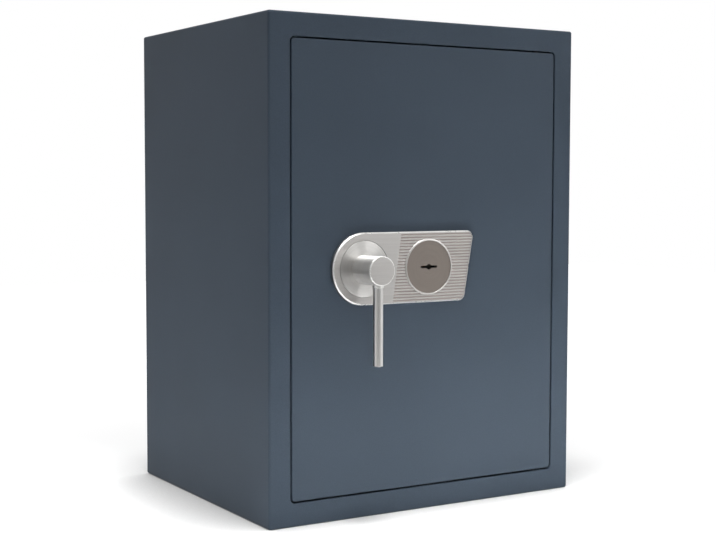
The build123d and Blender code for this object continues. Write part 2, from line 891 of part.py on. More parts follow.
def spiral_slot(centre, start_angle, start_radius, travel, swing, width):
    """A slot whose radius grows evenly with the turn, seen from the front, for a pin at start_angle.

    Angles run from straight up towards the right, the way the handle and the key turn.
    """
    steps = 8
    growth = travel / radians(swing)
    left_side = []
    right_side = []
    for step in range(steps + 1):
        turned = radians(swing) * step / steps
        angle = radians(start_angle) - turned
        radius = start_radius + growth * turned
        outward = Vector(sin(angle), cos(angle))
        onward = Vector(-cos(angle), sin(angle))
        along = (outward * growth + onward * radius).normalized() * (width / 2)
        across = Vector(-along.Y, along.X)
        place = Vector(*centre) + outward * radius
        left_side.append(place + across)
        right_side.append(place - across)
        if step == 0:
            start_cap = ThreePointArc(place - across, place - along, place + across)
    end_cap = ThreePointArc(place + across, place + along, place - across)
    return make_face([Spline(*left_side), end_cap, Spline(*reversed(right_side)), start_cap])


def make_cam_disc():
    """The disc on the spindle: its three spiral slots push the bars outward together."""
    disc = rod_y(cam_radius, handle_x, lock_height, cam_y0, cam_y1)
    disc = chamfer(disc.edges().filter_by(GeomType.CIRCLE), cam_edge)
    square = spindle_square + 2 * seat_clearance
    disc -= front_slab(Pos(handle_x, lock_height) * Rectangle(square, square), cam_y0, cam_y1)
    width = cam_pin_diameter + 2 * slide_clearance
    for start_angle in (0, 180, 270):
        slot = spiral_slot(
            (handle_x, lock_height), start_angle, cam_slot_start, bolt_throw, handle_swing, width
        )
        disc -= front_slab(slot, cam_y0, cam_y1)
    return disc


def riveted_bolt(length):
    """A round bolt standing on z = 0 with its rivet below, through the carrier's thickness."""
    bolt = rod_z(bolt_diameter / 2, 0, 0, 0, length)
    bolt = chamfer(bolt.edges().group_by(Axis.Z)[-1], door_edge_radius)
    bolt += rod_z(rivet_diameter / 2, 0, 0, -bar_thickness, 0)
    return bolt + rod_z(rivet_head / 2, 0, 0, -bar_thickness - rivet_height, -bar_thickness)


def make_carriage_bar():
    """The upright bar behind the three side bolts, with its arms to the cam and to the lock."""
    half = carriage_depth / 2
    bar = block(
        carriage_x, carriage_x + bar_thickness, bolt_y - half, bolt_y + half,
        bolt_rows[0] - carriage_end, bolt_rows[-1] + carriage_end,
    )
    hole = rivet_diameter / 2 + seat_clearance
    for z in bolt_rows:
        bar -= rod_x(hole, bolt_y, z, carriage_x, carriage_x + bar_thickness)
    pin_x = handle_x - cam_slot_start
    arm = Pos((carriage_x + pin_x) / 2, lock_height) * Rectangle(pin_x - carriage_x, 2 * bar_tip_radius)
    arm += Pos(pin_x, lock_height) * Circle(bar_tip_radius)
    arm -= Pos(pin_x, lock_height) * Circle(cam_pin_tail / 2 + seat_clearance)
    bar += front_slab(arm, bar_y0, bar_y1) - riveted_zone()
    front = lock_bolt_y0 - slide_clearance
    rear = lock_bolt_y1 - finger_setback
    lower_arm = block(carriage_x, finger_x1, front, rear, finger_arm_z0, finger_arm_z1)
    finger = block(finger_x0, finger_x1, front, rear, finger_arm_z1, lock_z0 - finger_below_lock)
    return bar + lower_arm + finger


def riveted_zone():
    """The space that the middle bolt's rivet takes in and beside the bar."""
    beside = carriage_x + bar_thickness
    head_end = beside + rivet_height + slide_clearance
    head = rod_x(rivet_head / 2 + slide_clearance, bolt_y, lock_height, beside, head_end)
    shank = rod_x(rivet_diameter / 2 + seat_clearance, bolt_y, lock_height, carriage_x, beside)
    return head + shank


def make_lock_side_bolts():
    """Three round bolts that shoot to the left."""
    length = carriage_x - (-door_x + bolt_setback)
    bolt = Rot(0, -90, 0) * riveted_bolt(length)
    return group(Pos(carriage_x, bolt_y, z) * bolt for z in bolt_rows)


def follower_pin(x, z):
    """A pin riveted in a bar, standing forward into a cam slot."""
    pin = rod_y(cam_pin_diameter / 2, x, z, pin_end_y, bar_y0)
    return pin + rod_y(cam_pin_tail / 2, x, z, bar_y0, bar_y1)


def make_carriage_pin():
    """The carriage's follower."""
    return follower_pin(handle_x - cam_slot_start, lock_height)


def end_bar(side, flange_z):
    """The strip from the cam to an end bolt, turned over under the bolt; side is 1 up, -1 down."""
    pin_z = lock_height + side * cam_slot_start
    low, high = sorted((pin_z, flange_z))
    strip = Pos(handle_x, (low + high) / 2) * Rectangle(bar_width, high - low)
    strip += Pos(handle_x, pin_z) * Circle(bar_tip_radius)
    strip -= Pos(handle_x, pin_z) * Circle(cam_pin_tail / 2 + seat_clearance)
    bar = front_slab(strip, bar_y0, bar_y1)
    low, high = sorted((flange_z, flange_z - side * bar_thickness))
    half = bolt_diameter / 2
    flange = block(handle_x - half, handle_x + half, bar_y0, bolt_y + half, low, high)
    flange = fillet(flange.edges().filter_by(Axis.Z).group_by(Axis.Y)[-1], bar_thickness)
    bar += flange
    rivet = rivet_diameter / 2 + seat_clearance
    bar -= rod_z(rivet, handle_x, bolt_y, low, high)
    beyond = sorted((flange_z - side * bar_thickness, flange_z - side * (bar_thickness + 2 * rivet_height)))
    return bar - rod_z(rivet_head / 2 + slide_clearance, handle_x, bolt_y, *beyond)


def make_top_bar():
    """The bar that lifts the top bolt."""
    return end_bar(1, top_flange_z)


def make_top_bolt():
    """The bolt that shoots up."""
    return Pos(handle_x, bolt_y, top_flange_z) * riveted_bolt(end_bolt_length)


def make_top_bar_pin():
    """The top bar's follower."""
    return follower_pin(handle_x, lock_height + cam_slot_start)


def make_bottom_bar():
    """The bar that lowers the bottom bolt."""
    return end_bar(-1, bottom_flange_z)


def make_bottom_bolt():
    """The bolt that shoots down."""
    return Pos(handle_x, bolt_y, bottom_flange_z) * Rot(180, 0, 0) * riveted_bolt(end_bolt_length)


def make_bottom_bar_pin():
    """The bottom bar's follower."""
    return follower_pin(handle_x, lock_height - cam_slot_start)


def flanged_guide():
    """A bush for a bolt along Z, its flange below z = 0 and its collar in the wall above."""
    bush = rod_z(guide_bush / 2 - seat_clearance, 0, 0, 0, pan_wall)
    bush += rod_z(guide_flange / 2, 0, 0, -guide_flange_thickness, 0)
    bush += rod_z(guide_bush / 2, 0, 0, -guide_length + pan_wall, -guide_flange_thickness)
    bore = bolt_diameter / 2 + running_clearance
    return bush - rod_z(bore, 0, 0, -guide_length + pan_wall, pan_wall)


def make_bolt_guides():
    """Five bushes in the pan's walls that the bolts slide in."""
    bush = flanged_guide()
    guides = [Pos(-room_x, bolt_y, z) * Rot(0, -90, 0) * bush for z in bolt_rows]
    guides.append(Pos(handle_x, bolt_y, room_z1) * bush)
    guides.append(Pos(handle_x, bolt_y, room_z0) * Rot(180, 0, 0) * bush)
    return group(guides)


def make_bar_guides():
    """Two blocks on the base sheet with a window for the upright bars."""
    guides = []
    half = bar_guide_width / 2
    gap = bar_width / 2 + slide_clearance
    for side in (-1, 1):
        z = lock_height + side * bar_guide_distance
        low = z - bar_guide_height / 2
        high = z + bar_guide_height / 2
        body = block(handle_x - half, handle_x + half, base_y, bar_y1 + bar_thickness, low, high)
        body = fillet(body.edges().filter_by(Axis.Z).group_by(Axis.Y)[-1], bar_thickness / 2)
        body -= block(
            handle_x - gap, handle_x + gap, bar_y0 - slide_clearance, bar_y1 + slide_clearance, low, high
        )
        guides.append(body)
    return group(guides)


# Key lock

def lock_screw_places():
    """The lock's four screws, as seen from the front."""
    return [
        (x, z)
        for x in (lock_x0 + lock_screw_inset, lock_x1 - lock_screw_inset)
        for z in (lock_z0 + lock_screw_inset, lock_z1 - lock_screw_inset)
    ]


def make_lock_case():
    """The lock's tray: a floor with the keyway, four walls and a screw pillar in each corner."""
    outline = rounded(lock_x0, lock_x1, lock_z0, lock_z1, lock_wall)
    case = front_slab(outline, base_y, lock_room_y1)
    room = rounded(
        lock_x0 + lock_wall, lock_x1 - lock_wall, lock_z0 + lock_wall, lock_z1 - lock_wall, lock_wall / 2
    )
    pillars = Sketch()
    for x, z in lock_screw_places():
        pillars += Pos(x, z) * Rectangle(2 * lock_screw_inset, 2 * lock_screw_inset)
    case -= front_slab(room - pillars, lock_room_y0, lock_room_y1)
    case -= front_slab(key_passage(slide_clearance), base_y, lock_room_y0)
    half = lock_bolt_width / 2 + slide_clearance
    case -= block(
        key_x - half, key_x + half, lock_bolt_y0 - slide_clearance, lock_room_y1, lock_z0, lock_z0 + lock_wall
    )
    for x, z in lock_screw_places():
        case -= rod_y(lock_screw_shank / 2 + seat_clearance, x, z, base_y, lock_room_y1)
    return case


def make_lock_cover():
    """The lock's lid."""
    cover = front_slab(rounded(lock_x0, lock_x1, lock_z0, lock_z1, lock_wall), lock_room_y1, lock_y1)
    for x, z in lock_screw_places():
        cover -= rod_y(lock_screw_shank / 2 + seat_clearance, x, z, lock_room_y1, lock_y1)
    return cover


def make_lock_screws():
    """The screws that hold the lid and the case on the base sheet."""
    screws = []
    for x, z in lock_screw_places():
        head = rod_y(lock_screw_radius, x, z, lock_y1, lock_y1 + lock_screw_height)
        head = fillet(head.edges().group_by(Axis.Y)[-1], lock_screw_height * screw_crown)
        screws.append(head + rod_y(lock_screw_shank / 2, x, z, base_y, lock_y1))
    return group(screws)


def make_key_curtain():
    """The round curtain that turns with the key, and the snail cam behind it."""
    curtain = rod_y(curtain_radius, key_x, lock_height, curtain_y0, curtain_cam_y0)
    curtain -= front_slab(key_passage(0), curtain_y0, curtain_cam_y0)
    cam = rod_y(curtain_cam_radius, key_x, lock_height, curtain_cam_y0, curtain_cam_y1)
    width = lock_pin_diameter + 2 * slide_clearance
    slot = spiral_slot((key_x, lock_height), 180, lock_slot_start, lock_throw, key_turn, width)
    return curtain + (cam - front_slab(slot, curtain_cam_y0, curtain_cam_y1))


def make_lock_bolt():
    """The lock's own bolt, with the cam's follower and the stump that stands in the tumblers."""
    pin_z = lock_height - lock_slot_start
    half = lock_bolt_width / 2
    top = pin_z + half
    tip = lock_z0 + slide_clearance
    bolt = block(key_x - half, key_x + half, lock_bolt_y0, lock_bolt_y1, tip, top)
    arm_x = key_x - lock_stump_reach
    bolt += block(arm_x - half / 2, key_x, lock_bolt_y0, lock_bolt_y1, top - lock_arm_height, top)
    bolt += rod_y(lock_pin_diameter / 2, key_x, pin_z, curtain_cam_y0 + slide_clearance, lock_bolt_y0)
    return bolt + rod_y(
        lock_pin_diameter / 2, arm_x, pin_z, lock_room_y0 + slide_clearance, lock_bolt_y0
    )


def make_lever_tumblers():
    """Seven thin levers on one stud, each with a gate for the stump and a bow round the curtain."""
    stud_x = key_x + tumbler_stud_side
    stud_z = lock_height + tumbler_stud_rise
    arm_x = key_x - lock_stump_reach
    left = lock_x0 + lock_wall + tumbler_gap
    low = lock_height - tumbler_height / 2
    lever = rounded(left, left + tumbler_width, low, low + tumbler_height, lock_wall)
    lever -= Pos(key_x, lock_height) * Circle(curtain_radius + tumbler_gap)
    lever -= Pos(stud_x, stud_z) * Circle(tumbler_stud_diameter / 2 + running_clearance)
    pin_z = lock_height - lock_slot_start
    gate_z = pin_z - lock_throw / 2
    gate_length = lock_throw + lock_pin_diameter + 2 * tumbler_gap
    gate = SlotOverall(gate_length, lock_pin_diameter + 2 * slide_clearance)
    lever -= Pos(arm_x, gate_z) * Rot(0, 0, 90) * gate
    first_y = lock_room_y0 + tumbler_pitch - tumbler_thickness
    levers = []
    for place in range(tumbler_count):
        y = first_y + place * tumbler_pitch
        levers.append(front_slab(lever, y, y + tumbler_thickness))
    return group(levers)


def make_tumbler_stud():
    """The stud that the tumblers rock on."""
    x = key_x + tumbler_stud_side
    z = lock_height + tumbler_stud_rise
    return rod_y(tumbler_stud_diameter / 2, x, z, lock_room_y0, lock_room_y1)


# Every sub-part by its name

makers = {
    "outer_casing": make_outer_casing,
    "rear_panel": make_rear_panel,
    "door_jamb": make_door_jamb,
    "inner_liner": make_inner_liner,
    "side_barriers": make_side_barriers,
    "top_barrier": make_top_barrier,
    "bottom_barrier": make_bottom_barrier,
    "rear_barrier": make_rear_barrier,
    "base_anchor_sleeves": make_base_sleeves,
    "rear_anchor_sleeves": make_rear_sleeves,
    "shelf": make_shelf,
    "shelf_pegs": make_shelf_pegs,
    "fire_seal": make_fire_seal,
    "hinge_brackets": make_hinge_brackets,
    "hinge_bushes": make_hinge_bushes,
    "hinge_pins": make_hinge_pins,
    "hinge_blocks": make_hinge_blocks,
    "door_plate": make_door_plate,
    "door_pan": make_door_pan,
    "dead_bar": make_dead_bar,
    "door_barrier": make_door_barrier,
    "drill_plate": make_drill_plate,
    "boltwork_plate": make_boltwork_plate,
    "base_plate_screws": make_base_screws,
    "cover_posts": make_cover_posts,
    "inner_cover": make_inner_cover,
    "cover_screws": make_cover_screws,
    "lock_plate": make_lock_plate,
    "key_rosette": make_key_rosette,
    "plate_studs": make_plate_studs,
    "plate_nuts": make_plate_nuts,
    "spindle_bush": make_spindle_bush,
    "handle_rose": make_handle_rose,
    "handle_hub": make_handle_hub,
    "handle_lever": make_handle_lever,
    "lever_collar": make_lever_collar,
    "handle_spindle": make_handle_spindle,
    "spindle_screw": make_spindle_screw,
    "cam_disc": make_cam_disc,
    "carriage_bar": make_carriage_bar,
    "lock_side_bolts": make_lock_side_bolts,
    "carriage_pin": make_carriage_pin,
    "top_bar": make_top_bar,
    "top_bolt": make_top_bolt,
    "top_bar_pin": make_top_bar_pin,
    "bottom_bar": make_bottom_bar,
    "bottom_bolt": make_bottom_bolt,
    "bottom_bar_pin": make_bottom_bar_pin,
    "bolt_guides": make_bolt_guides,
    "bar_guides": make_bar_guides,
    "lock_case": make_lock_case,
    "lock_cover": make_lock_cover,
    "lock_screws": make_lock_screws,
    "key_curtain": make_key_curtain,
    "lock_bolt": make_lock_bolt,
    "lever_tumblers": make_lever_tumblers,
    "tumbler_stud": make_tumbler_stud,
}

os.makedirs("parts", exist_ok=True)
for node, make in makers.items():
    export_step(make(), os.path.join("parts", node + ".step"))
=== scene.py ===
import json
from math import atan2, cos, pi, radians, sin, tan

import bmesh
import bpy
from bpy.props import FloatProperty, FloatVectorProperty, IntProperty, PointerProperty
from bpy.types import Operator, Panel, PropertyGroup
from mathutils import Matrix, Vector


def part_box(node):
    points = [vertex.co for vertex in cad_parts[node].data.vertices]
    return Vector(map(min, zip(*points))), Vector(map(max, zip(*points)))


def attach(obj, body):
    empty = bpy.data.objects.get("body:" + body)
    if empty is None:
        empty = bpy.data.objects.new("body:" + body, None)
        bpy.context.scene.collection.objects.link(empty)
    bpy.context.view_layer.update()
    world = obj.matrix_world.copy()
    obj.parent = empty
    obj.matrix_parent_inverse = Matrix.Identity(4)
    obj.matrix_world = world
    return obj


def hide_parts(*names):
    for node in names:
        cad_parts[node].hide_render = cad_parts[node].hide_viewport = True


bl_info = {
    "name": "Safe Cabinet",
    "version": (1, 0, 0),
    "blender": (4, 5, 0),
    "location": "View3D > Sidebar > Safe",
    "description": "Models and finishes a free-standing safe cabinet round its engineering frame",
    "category": "Object",
}

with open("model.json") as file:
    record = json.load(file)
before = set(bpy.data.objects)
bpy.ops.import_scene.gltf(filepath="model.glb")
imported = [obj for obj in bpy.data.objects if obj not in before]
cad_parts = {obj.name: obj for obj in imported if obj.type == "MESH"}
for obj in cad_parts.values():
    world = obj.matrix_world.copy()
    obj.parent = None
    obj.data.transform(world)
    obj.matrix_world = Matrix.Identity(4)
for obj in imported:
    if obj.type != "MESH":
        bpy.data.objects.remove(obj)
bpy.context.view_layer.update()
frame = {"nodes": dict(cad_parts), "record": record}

casing_low, casing_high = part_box("outer_casing")
leaf_low, leaf_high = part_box("door_plate")
plate_low, plate_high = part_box("lock_plate")
rosette_low, rosette_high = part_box("key_rosette")
rose_low, rose_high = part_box("handle_rose")
hub_low, hub_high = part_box("handle_hub")
lever_low, lever_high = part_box("handle_lever")
screws_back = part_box("cover_screws")[1].y

MM = 0.001
# How far a cutter stands out of the piece that it cuts.
CUTTER_OVER = 2 * MM
# Radius of the flat middle of a turned face, over the piece's radius.
FACE_CENTRE = 0.3


# Sizes and colours that a user may change

def user_length(name, millimetres, description):
    """A length that a user may change, given in millimetres."""
    return FloatProperty(name=name, description=description, default=millimetres * MM, unit="LENGTH")


def user_colour(name, value, description):
    """A colour that a user may change."""
    return FloatVectorProperty(name=name, description=description, default=value, subtype="COLOR")


def user_power(name, watts, description):
    """The power of a light, in watts."""
    return FloatProperty(name=name, description=description, default=watts, unit="POWER")


def user_direction(name, value, description):
    """A direction that a user may change."""
    return FloatVectorProperty(name=name, description=description, default=value, subtype="DIRECTION")


class CabinetSizes(PropertyGroup):
    sheet: user_length("Sheet", 2.5, "Thickness of the folded casing")
    fold_radius: user_length("Fold radius", 3, "Outer radius of the casing's folds")
    frame_width: user_length("Frame width", 28, "Width of the frame face round the door")
    mouth_corner: user_length("Mouth corner", 6.5, "Corner radius of the door opening")
    mouth_edge: user_length("Mouth edge", 0.7, "Rounding of the opening's front edge")
    leaf_corner: user_length("Door corner", 4.5, "Corner radius of the door's front plate")
    leaf_edge: user_length("Door edge", 1.5, "Rounding of the door's front edge")
    spindle_bore: user_length("Spindle bore", 12, "Radius of the hole behind the handle's rose")
    keyway_margin: user_length("Keyway margin", 1.5, "Room round the key in the door's front plate")
    anchor_hole: user_length("Anchor hole", 12, "Diameter of the fixing holes")
    anchor_spacing: user_length("Anchor spacing", 220, "Distance between the two holes of a row")
    base_anchor_depth: user_length("Base anchor place", 10, "How far behind the middle the floor holes lie")


class LockPlateSizes(PropertyGroup):
    rake: user_length("Rake", 14.5, "How far the right edge leans in at its foot")
    corner: user_length("Corner", 9, "Radius of the two right corners")
    chamfer: user_length("Chamfer", 1.5, "Width of the polished edge")
    field_inset: user_length("Field inset", 2, "From the plate's outline to the ribbed field")
    groove_count: IntProperty(
        name="Grooves", description="Number of grooves across the plate", default=23, min=1
    )
    groove_width: user_length("Groove width", 1.9, "Width of a groove at the face")
    groove_depth: user_length("Groove depth", 0.9, "Depth of a groove")
    groove_floor: FloatProperty(
        name="Groove floor", description="Width of the groove cutter at its tip, over that at its root",
        default=0.10, subtype="FACTOR",
    )
    groove_start: user_length("Groove start", 52, "From the handle's axis to the ribbed field's upper start")
    groove_rake: user_length("Groove rake", 12, "How far the ribbed field's left end leans")
    rose_gap: user_length("Rose gap", 0.3, "Gap round the turning rose")
    seat_gap: user_length("Seat gap", 0.05, "Gap round the fixed rosette")
    rosette_edge: user_length("Rosette edge", 1.2, "Rounding of the key rosette's rim")
    rosette_rim: user_length("Rosette rim", 2.2, "Width of the key rosette's bright rim")
    rosette_dish: user_length("Rosette dish", 0.8, "Depth of the key rosette's dish")
    slot_length: user_length("Key slot length", 24, "Length of the slot for the key's bits")
    slot_height: user_length("Key slot height", 3, "Height of the slot for the key's bits")
    barrel: user_length("Key hole", 7, "Diameter of the round hole for the key's shaft")


class HandleSizes(PropertyGroup):
    rose_edge: user_length("Rose edge", 1, "Rounding of the rose's rim")
    hub_edge: user_length("Hub edge", 1.5, "Polished rounding round the hub's front")
    lever_end: user_length("Lever end", 0.7, "Chamfer at the lever's lower end")
    collar_radius: user_length("Collar radius", 6.9, "Radius of the ring where the lever enters the hub")
    collar_length: user_length("Collar length", 2.5, "How far the ring stands out of the hub")
    collar_edge: user_length("Collar edge", 0.6, "Chamfer at the ring's lower end")


class ScrewSizes(PropertyGroup):
    head: user_length("Head", 2.5, "Height of a cover screw's head")
    radius: user_length("Radius", 4.5, "Radius of the head")
    recess: user_length("Recess", 1.6, "Depth of the cross recess")
    wing_reach: user_length("Wing reach", 2.4, "From the screw's axis to the end of a wing of the recess")
    wing_half: user_length("Wing half", 0.55, "Half the width of a wing")
    room: user_length("Room", 12, "Points nearer than this to each other belong to one screw")


class FinishColours(PropertyGroup):
    paint: user_colour("Paint", (0.052, 0.071, 0.096), "Slate powder coat of the casing and the door")
    inside: user_colour("Inside", (0.40, 0.42, 0.43), "Light coat of the cabin, shelf and inner cover")
    jamb: user_colour("Jamb", (0.030, 0.040, 0.054), "Dark coat of the jamb and the door's edge frame")
    stainless: user_colour("Stainless", (0.56, 0.545, 0.53), "Brushed plate, hub face and rosette rim")
    lever: user_colour("Lever steel", (0.67, 0.66, 0.645), "Brushed stainless steel of the lever")
    turned: user_colour("Turned steel", (0.60, 0.59, 0.575), "Turned steel of the hub and the rose")
    # Darker than the plate's steel: the milled finish and painted shade in the grooves.
    groove: user_colour("Groove", (0.46, 0.42, 0.40), "Milled floors of the lock plate's grooves")
    rosette: user_colour("Rosette", (0.25, 0.219, 0.196), "Satin face of the key rosette")
    # Lighter than the steel: the polish and a painted highlight on the edges.
    polished: user_colour("Polished", (0.86, 0.85, 0.83), "Polished edges of the stainless pieces")
    zinc: user_colour("Zinc", (0.60, 0.61, 0.60), "Bright zinc plating of the boltwork")
    nickel: user_colour("Nickel", (0.70, 0.69, 0.66), "Ground and plated bolts")
    brass: user_colour("Brass", (0.68, 0.50, 0.23), "Turned brass bushes")
    screw: user_colour("Screw", (0.52, 0.53, 0.54), "Zinc plating of the screws")
    lock: user_colour("Lock", (0.50, 0.51, 0.50), "Zinc plating of the lock")
    hard: user_colour("Hard steel", (0.08, 0.08, 0.09), "Blackened hard plate before the lock")
    filling: user_colour("Filling", (0.62, 0.60, 0.56), "Cast fire filling inside the walls")
    seal: user_colour("Seal", (0.030, 0.031, 0.034), "Swelling strip behind the door")


class StudioSettings(PropertyGroup):
    key_power: user_power("Key light", 9.0, "Power of the large light at the front right")
    fill_power: user_power("Fill light", 2.0, "Power of the light at the left")
    top_power: user_power("Top light", 11.5, "Power of the light overhead")
    floor_power: user_power("Floor light", 5.0, "Power of the light on the floor in front")
    side_power: user_power("Side floor light", 2.0, "Power of the light on the floor at the left")
    surround: FloatProperty(
        name="Surround", description="Strength of the even light from all round", default=0.13
    )
    room: FloatProperty(
        name="Room", description="Brightness of the room that metal mirrors on its dim side", default=0.26
    )
    dim_side: user_direction("Dim side", (-0.423, -0.906, 0.0), "Direction of the room's darkest place")
    bright_side: user_direction("Bright side", (0.6, 0.8, 0.0), "Where the even light is strongest")
    bright_factor: FloatProperty(
        name="Bright factor", description="Strength of the even light there, over the rest's", default=7.0
    )
    floor_size: user_length("Floor", 7000, "Width of the studio floor")


# Modelling steps shared by the pieces

def alone():
    """Leaves edit mode and deselects everything, so that the next tool acts on its own piece."""
    if bpy.context.object and bpy.context.object.mode != "OBJECT":
        bpy.ops.object.mode_set(mode="OBJECT")
    bpy.ops.object.select_all(action="DESELECT")


def take(piece):
    """Selects one piece and makes it the active one."""
    alone()
    bpy.context.view_layer.objects.active = piece
    piece.select_set(True)


def settle(name):
    """Names the new piece and puts its place into its mesh."""
    piece = bpy.context.object
    piece.name = name
    piece.data.name = name
    bpy.ops.object.transform_apply(location=True, rotation=True, scale=True)
    return piece


def add_block(name, low, high):
    """A cube stretched between two corners."""
    alone()
    middle = (Vector(low) + Vector(high)) / 2
    bpy.ops.mesh.primitive_cube_add(size=1, location=middle, scale=Vector(high) - Vector(low))
    return settle(name)


def add_rod(name, radius, start, end, sides=64):
    """A cylinder from one point to another."""
    alone()
    along = Vector(end) - Vector(start)
    turn = along.to_track_quat("Z", "Y").to_euler()
    bpy.ops.mesh.primitive_cylinder_add(
        vertices=sides, radius=radius, depth=along.length,
        location=(Vector(start) + Vector(end)) / 2, rotation=turn,
    )
    return settle(name)


def turn_piece(name, centre, axis, steps, sides=96):
    """Turns a closed piece: a disc is extruded along the axis and resized at each step.

    A step is a distance along the axis and the radius there.
    """
    alone()
    along = Vector(axis)
    place, radius = steps[0]
    bpy.ops.mesh.primitive_circle_add(
        vertices=sides, radius=radius, fill_type="NGON",
        location=Vector(centre) + along * place, rotation=along.to_track_quat("Z", "Y").to_euler(),
    )
    piece = settle(name)
    bpy.ops.object.mode_set(mode="EDIT")
    bpy.ops.mesh.select_all(action="SELECT")
    for next_place, next_radius in steps[1:]:
        shift = along * (next_place - place)
        bpy.ops.mesh.extrude_region_move(TRANSFORM_OT_translate={"value": shift})
        ratio = next_radius / radius
        bpy.ops.transform.resize(
            value=(ratio, ratio, ratio), center_override=Vector(centre) + along * next_place
        )
        place, radius = next_place, next_radius
    bpy.ops.mesh.select_all(action="SELECT")
    bpy.ops.mesh.normals_make_consistent(inside=False)
    bpy.ops.object.mode_set(mode="OBJECT")
    return piece


def pick_edges(piece, wanted):
    """Selects the edges whose two ends pass the test, in edit mode."""
    take(piece)
    bpy.ops.object.mode_set(mode="EDIT")
    bpy.ops.mesh.select_mode(type="EDGE")
    bpy.ops.mesh.select_all(action="DESELECT")
    shape = bmesh.from_edit_mesh(piece.data)
    for edge in shape.edges:
        if wanted(edge.verts[0].co, edge.verts[1].co):
            edge.select_set(True)
    bmesh.update_edit_mesh(piece.data)


def bevel_edges(piece, wanted, width, segments, clamp=True):
    """Rounds or chamfers the edges that pass the test."""
    pick_edges(piece, wanted)
    bpy.ops.mesh.bevel(
        offset=width, offset_type="OFFSET", segments=segments, profile=0.5, affect="EDGES",
        clamp_overlap=clamp,
    )
    bpy.ops.object.mode_set(mode="OBJECT")


def apply_modifier(piece, kind, **settings):
    """Adds a modifier with its settings and applies it."""
    take(piece)
    bpy.ops.object.modifier_add(type=kind)
    modifier = piece.modifiers[-1]
    for name, value in settings.items():
        setattr(modifier, name, value)
    bpy.ops.object.modifier_apply(modifier=modifier.name)


def combine(piece, tool, operation="DIFFERENCE"):
    """Cuts a piece with a tool, joins it to it or keeps what they share, and removes the tool."""
    apply_modifier(piece, "BOOLEAN", operation=operation, solver="EXACT", object=tool)
    take(tool)
    bpy.ops.object.delete()
    return piece


def clean_mesh(piece):
    """Merges doubled points and turns the faces outward."""
    take(piece)
    bpy.ops.object.mode_set(mode="EDIT")
    bpy.ops.mesh.select_all(action="SELECT")
    bpy.ops.mesh.remove_doubles(threshold=0.002 * MM)
    bpy.ops.mesh.normals_make_consistent(inside=False)
    bpy.ops.object.mode_set(mode="OBJECT")


def smooth(piece, angle=35):
    """Shades curves smooth and keeps flats flat."""
    take(piece)
    bpy.ops.object.shade_smooth_by_angle(angle=radians(angle))
    apply_modifier(piece, "WEIGHTED_NORMAL", keep_sharp=True, weight=100)
    alone()


def polish_faces(piece, material, wanted):
    """Gives those faces that pass the test, and still have the first finish, another one."""
    piece.data.materials.append(material)
    slot = len(piece.data.materials) - 1
    for face in piece.data.polygons:
        if face.material_index == 0 and wanted(face.center, face.normal):
            face.material_index = slot


def near(first, second):
    """True where two lengths agree to 0.02 mm."""
    return abs(first - second) < 0.02 * MM


def along_y(first, second):
    """True for an edge that runs straight back."""
    return near(first.x, second.x) and near(first.z, second.z)


def at_depth(y):
    """A test for the edges that lie at one depth."""
    return lambda first, second: near(first.y, y) and near(second.y, y)


def leaning(low, high):
    """A test for faces by how far they face the front: 1 is square to it and 0 is a side."""
    return lambda centre, normal: low < -normal.y < high


def facing_disc(low, high):
    """The axis and the radius of a round piece that faces forward: x, z and radius."""
    return (low.x + high.x) / 2, (low.z + high.z) / 2, (high.x - low.x) / 2


def key_cutter(name, x, z, front, back, sizes, margin=0.0):
    """The keyway as a solid tool: a slot with round ends and a round hole."""
    half = sizes.slot_length / 2 + margin
    rise = sizes.slot_height / 2 + margin
    tool = add_block(name, (x - half, front, z - rise), (x + half, back, z + rise))
    nearly_round = 0.98
    bevel_edges(tool, along_y, rise * nearly_round, segments=8)
    barrel = add_rod(name + "_barrel", sizes.barrel / 2 + margin, (x, front, z), (x, back, z), sides=40)
    return combine(tool, barrel, "UNION")


# Node groups shared by the finishes

